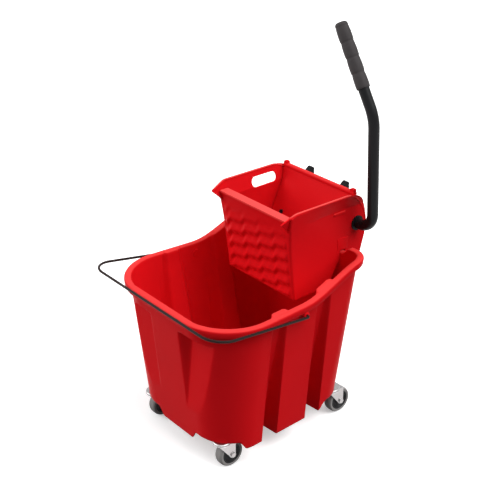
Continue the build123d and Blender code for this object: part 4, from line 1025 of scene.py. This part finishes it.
def by_sight(nodes, links, unseen, seen):
    """The value seen for rays from the camera, a reflection or a clear piece, unseen for all others."""
    path, value = nodes.new("ShaderNodeLightPath"), nodes.new("ShaderNodeMapRange")
    mirror, clear = nodes.new("ShaderNodeMath"), nodes.new("ShaderNodeMath")
    for node in (mirror, clear):
        node.operation = "MAXIMUM"
    links.new(path.outputs["Is Camera Ray"], mirror.inputs[0])
    links.new(path.outputs["Is Glossy Ray"], mirror.inputs[1])
    links.new(mirror.outputs["Value"], clear.inputs[0])
    links.new(path.outputs["Is Transmission Ray"], clear.inputs[1])
    fill(value, {"To Min": unseen, "To Max": seen})
    links.new(clear.outputs["Value"], value.inputs["Value"])
    return value.outputs["Result"]


def add_camera(scene, look):
    """Camera fitted to the photograph."""
    data = bpy.data.cameras.new("Camera")
    data.lens, data.sensor_width, data.sensor_fit = look.lens, SENSOR_W, "HORIZONTAL"
    data.clip_end = CLIP_END
    camera = bpy.data.objects.new("Camera", data)
    scene.collection.objects.link(camera)
    across, ahead = math.sin(CAMERA_AZIMUTH), -math.cos(CAMERA_AZIMUTH)
    level = math.cos(CAMERA_RISE)
    back = Vector((across * level, ahead * level, math.sin(CAMERA_RISE)))
    camera.location = Vector(CAMERA_TARGET) + back * CAMERA_DISTANCE
    camera.rotation_euler = (-back).to_track_quat("-Z", "Y").to_euler()
    scene.camera = camera


def add_floor(scene, look):
    """White floor that throws little light back."""
    mesh = bpy.data.meshes.new("floor")
    corners = rectangle((-FLOOR_HALF, -FLOOR_HALF), (FLOOR_HALF, FLOOR_HALF))
    mesh.from_pydata([(x, y, 0) for x, y in corners], [], [(0, 1, 2, 3)])
    floor = bpy.data.objects.new("floor", mesh)
    scene.collection.objects.link(floor)
    material = bpy.data.materials.new("floor")
    material.use_nodes = True
    nodes, links = material.node_tree.nodes, material.node_tree.links
    shader = nodes["Principled BSDF"]
    links.new(by_sight(nodes, links, look.floor_bounce, FLOOR_WHITE), shader.inputs["Base Color"])
    links.new(by_sight(nodes, links, 0.0, look.floor_glow), shader.inputs["Emission Strength"])
    fill(shader, {"Emission Color": WHITE, "Roughness": 0.9, "Specular IOR Level": 0.0})
    mesh.materials.append(material)


def add_sky(scene, look):
    """Even sky, white where it is seen."""
    world = bpy.data.worlds.new("World")
    scene.world = world
    world.use_nodes = True
    nodes, links = world.node_tree.nodes, world.node_tree.links
    background = nodes["Background"]
    links.new(by_sight(nodes, links, look.sky, 1.0), background.inputs["Strength"])
    fill(background, {"Color": WHITE})


class BUCKET_OT_stage(bpy.types.Operator):
    """Build the camera, the floor, the sky and the lamps"""

    bl_idname = "bucket.stage"
    bl_label = "Stage"

    def execute(self, context):
        scene, look = context.scene, context.scene.stage_look
        add_camera(scene, look)
        scene.view_settings.view_transform = "Standard"
        add_floor(scene, look)
        add_sky(scene, look)
        for name, (towards, spread) in LAMPS.items():
            soft_sun(name, towards, getattr(look, name), spread)
        return {"FINISHED"}


class BUCKET_PT_pieces(bpy.types.Panel):
    """Buttons for the bucket's pieces"""

    bl_idname = "BUCKET_PT_pieces"
    bl_label = "Mop bucket"
    bl_space_type = "VIEW_3D"
    bl_region_type = "UI"
    bl_category = "Mop bucket"

    def draw(self, context):
        for operator in OPERATORS:
            self.layout.operator(operator.bl_idname)


OPERATORS = (BUCKET_OT_carried, BUCKET_OT_tub, BUCKET_OT_wringer, BUCKET_OT_lever, BUCKET_OT_bail,
             BUCKET_OT_casters, BUCKET_OT_stage)
GROUPS = {"tub_look": TubLook, "wringer_look": WringerLook, "bucket_finish": BucketFinish,
          "stage_look": StageLook}


def register():
    """Register the settings, the operators and the panel."""
    for name, group in GROUPS.items():
        bpy.utils.register_class(group)
        setattr(bpy.types.Scene, name, PointerProperty(type=group))
    for item in (*OPERATORS, BUCKET_PT_pieces):
        bpy.utils.register_class(item)


def unregister():
    """Take everything out again."""
    for item in (BUCKET_PT_pieces, *reversed(OPERATORS)):
        bpy.utils.unregister_class(item)
    for name, group in GROUPS.items():
        delattr(bpy.types.Scene, name)
        bpy.utils.unregister_class(group)


def main():
    register()
    bpy.ops.bucket.carried()
    bpy.ops.bucket.tub()
    bpy.ops.bucket.wringer()
    bpy.ops.bucket.lever()
    bpy.ops.bucket.bail()
    bpy.ops.bucket.casters()
    bpy.ops.bucket.stage()


if __name__ == "__main__":
    main()
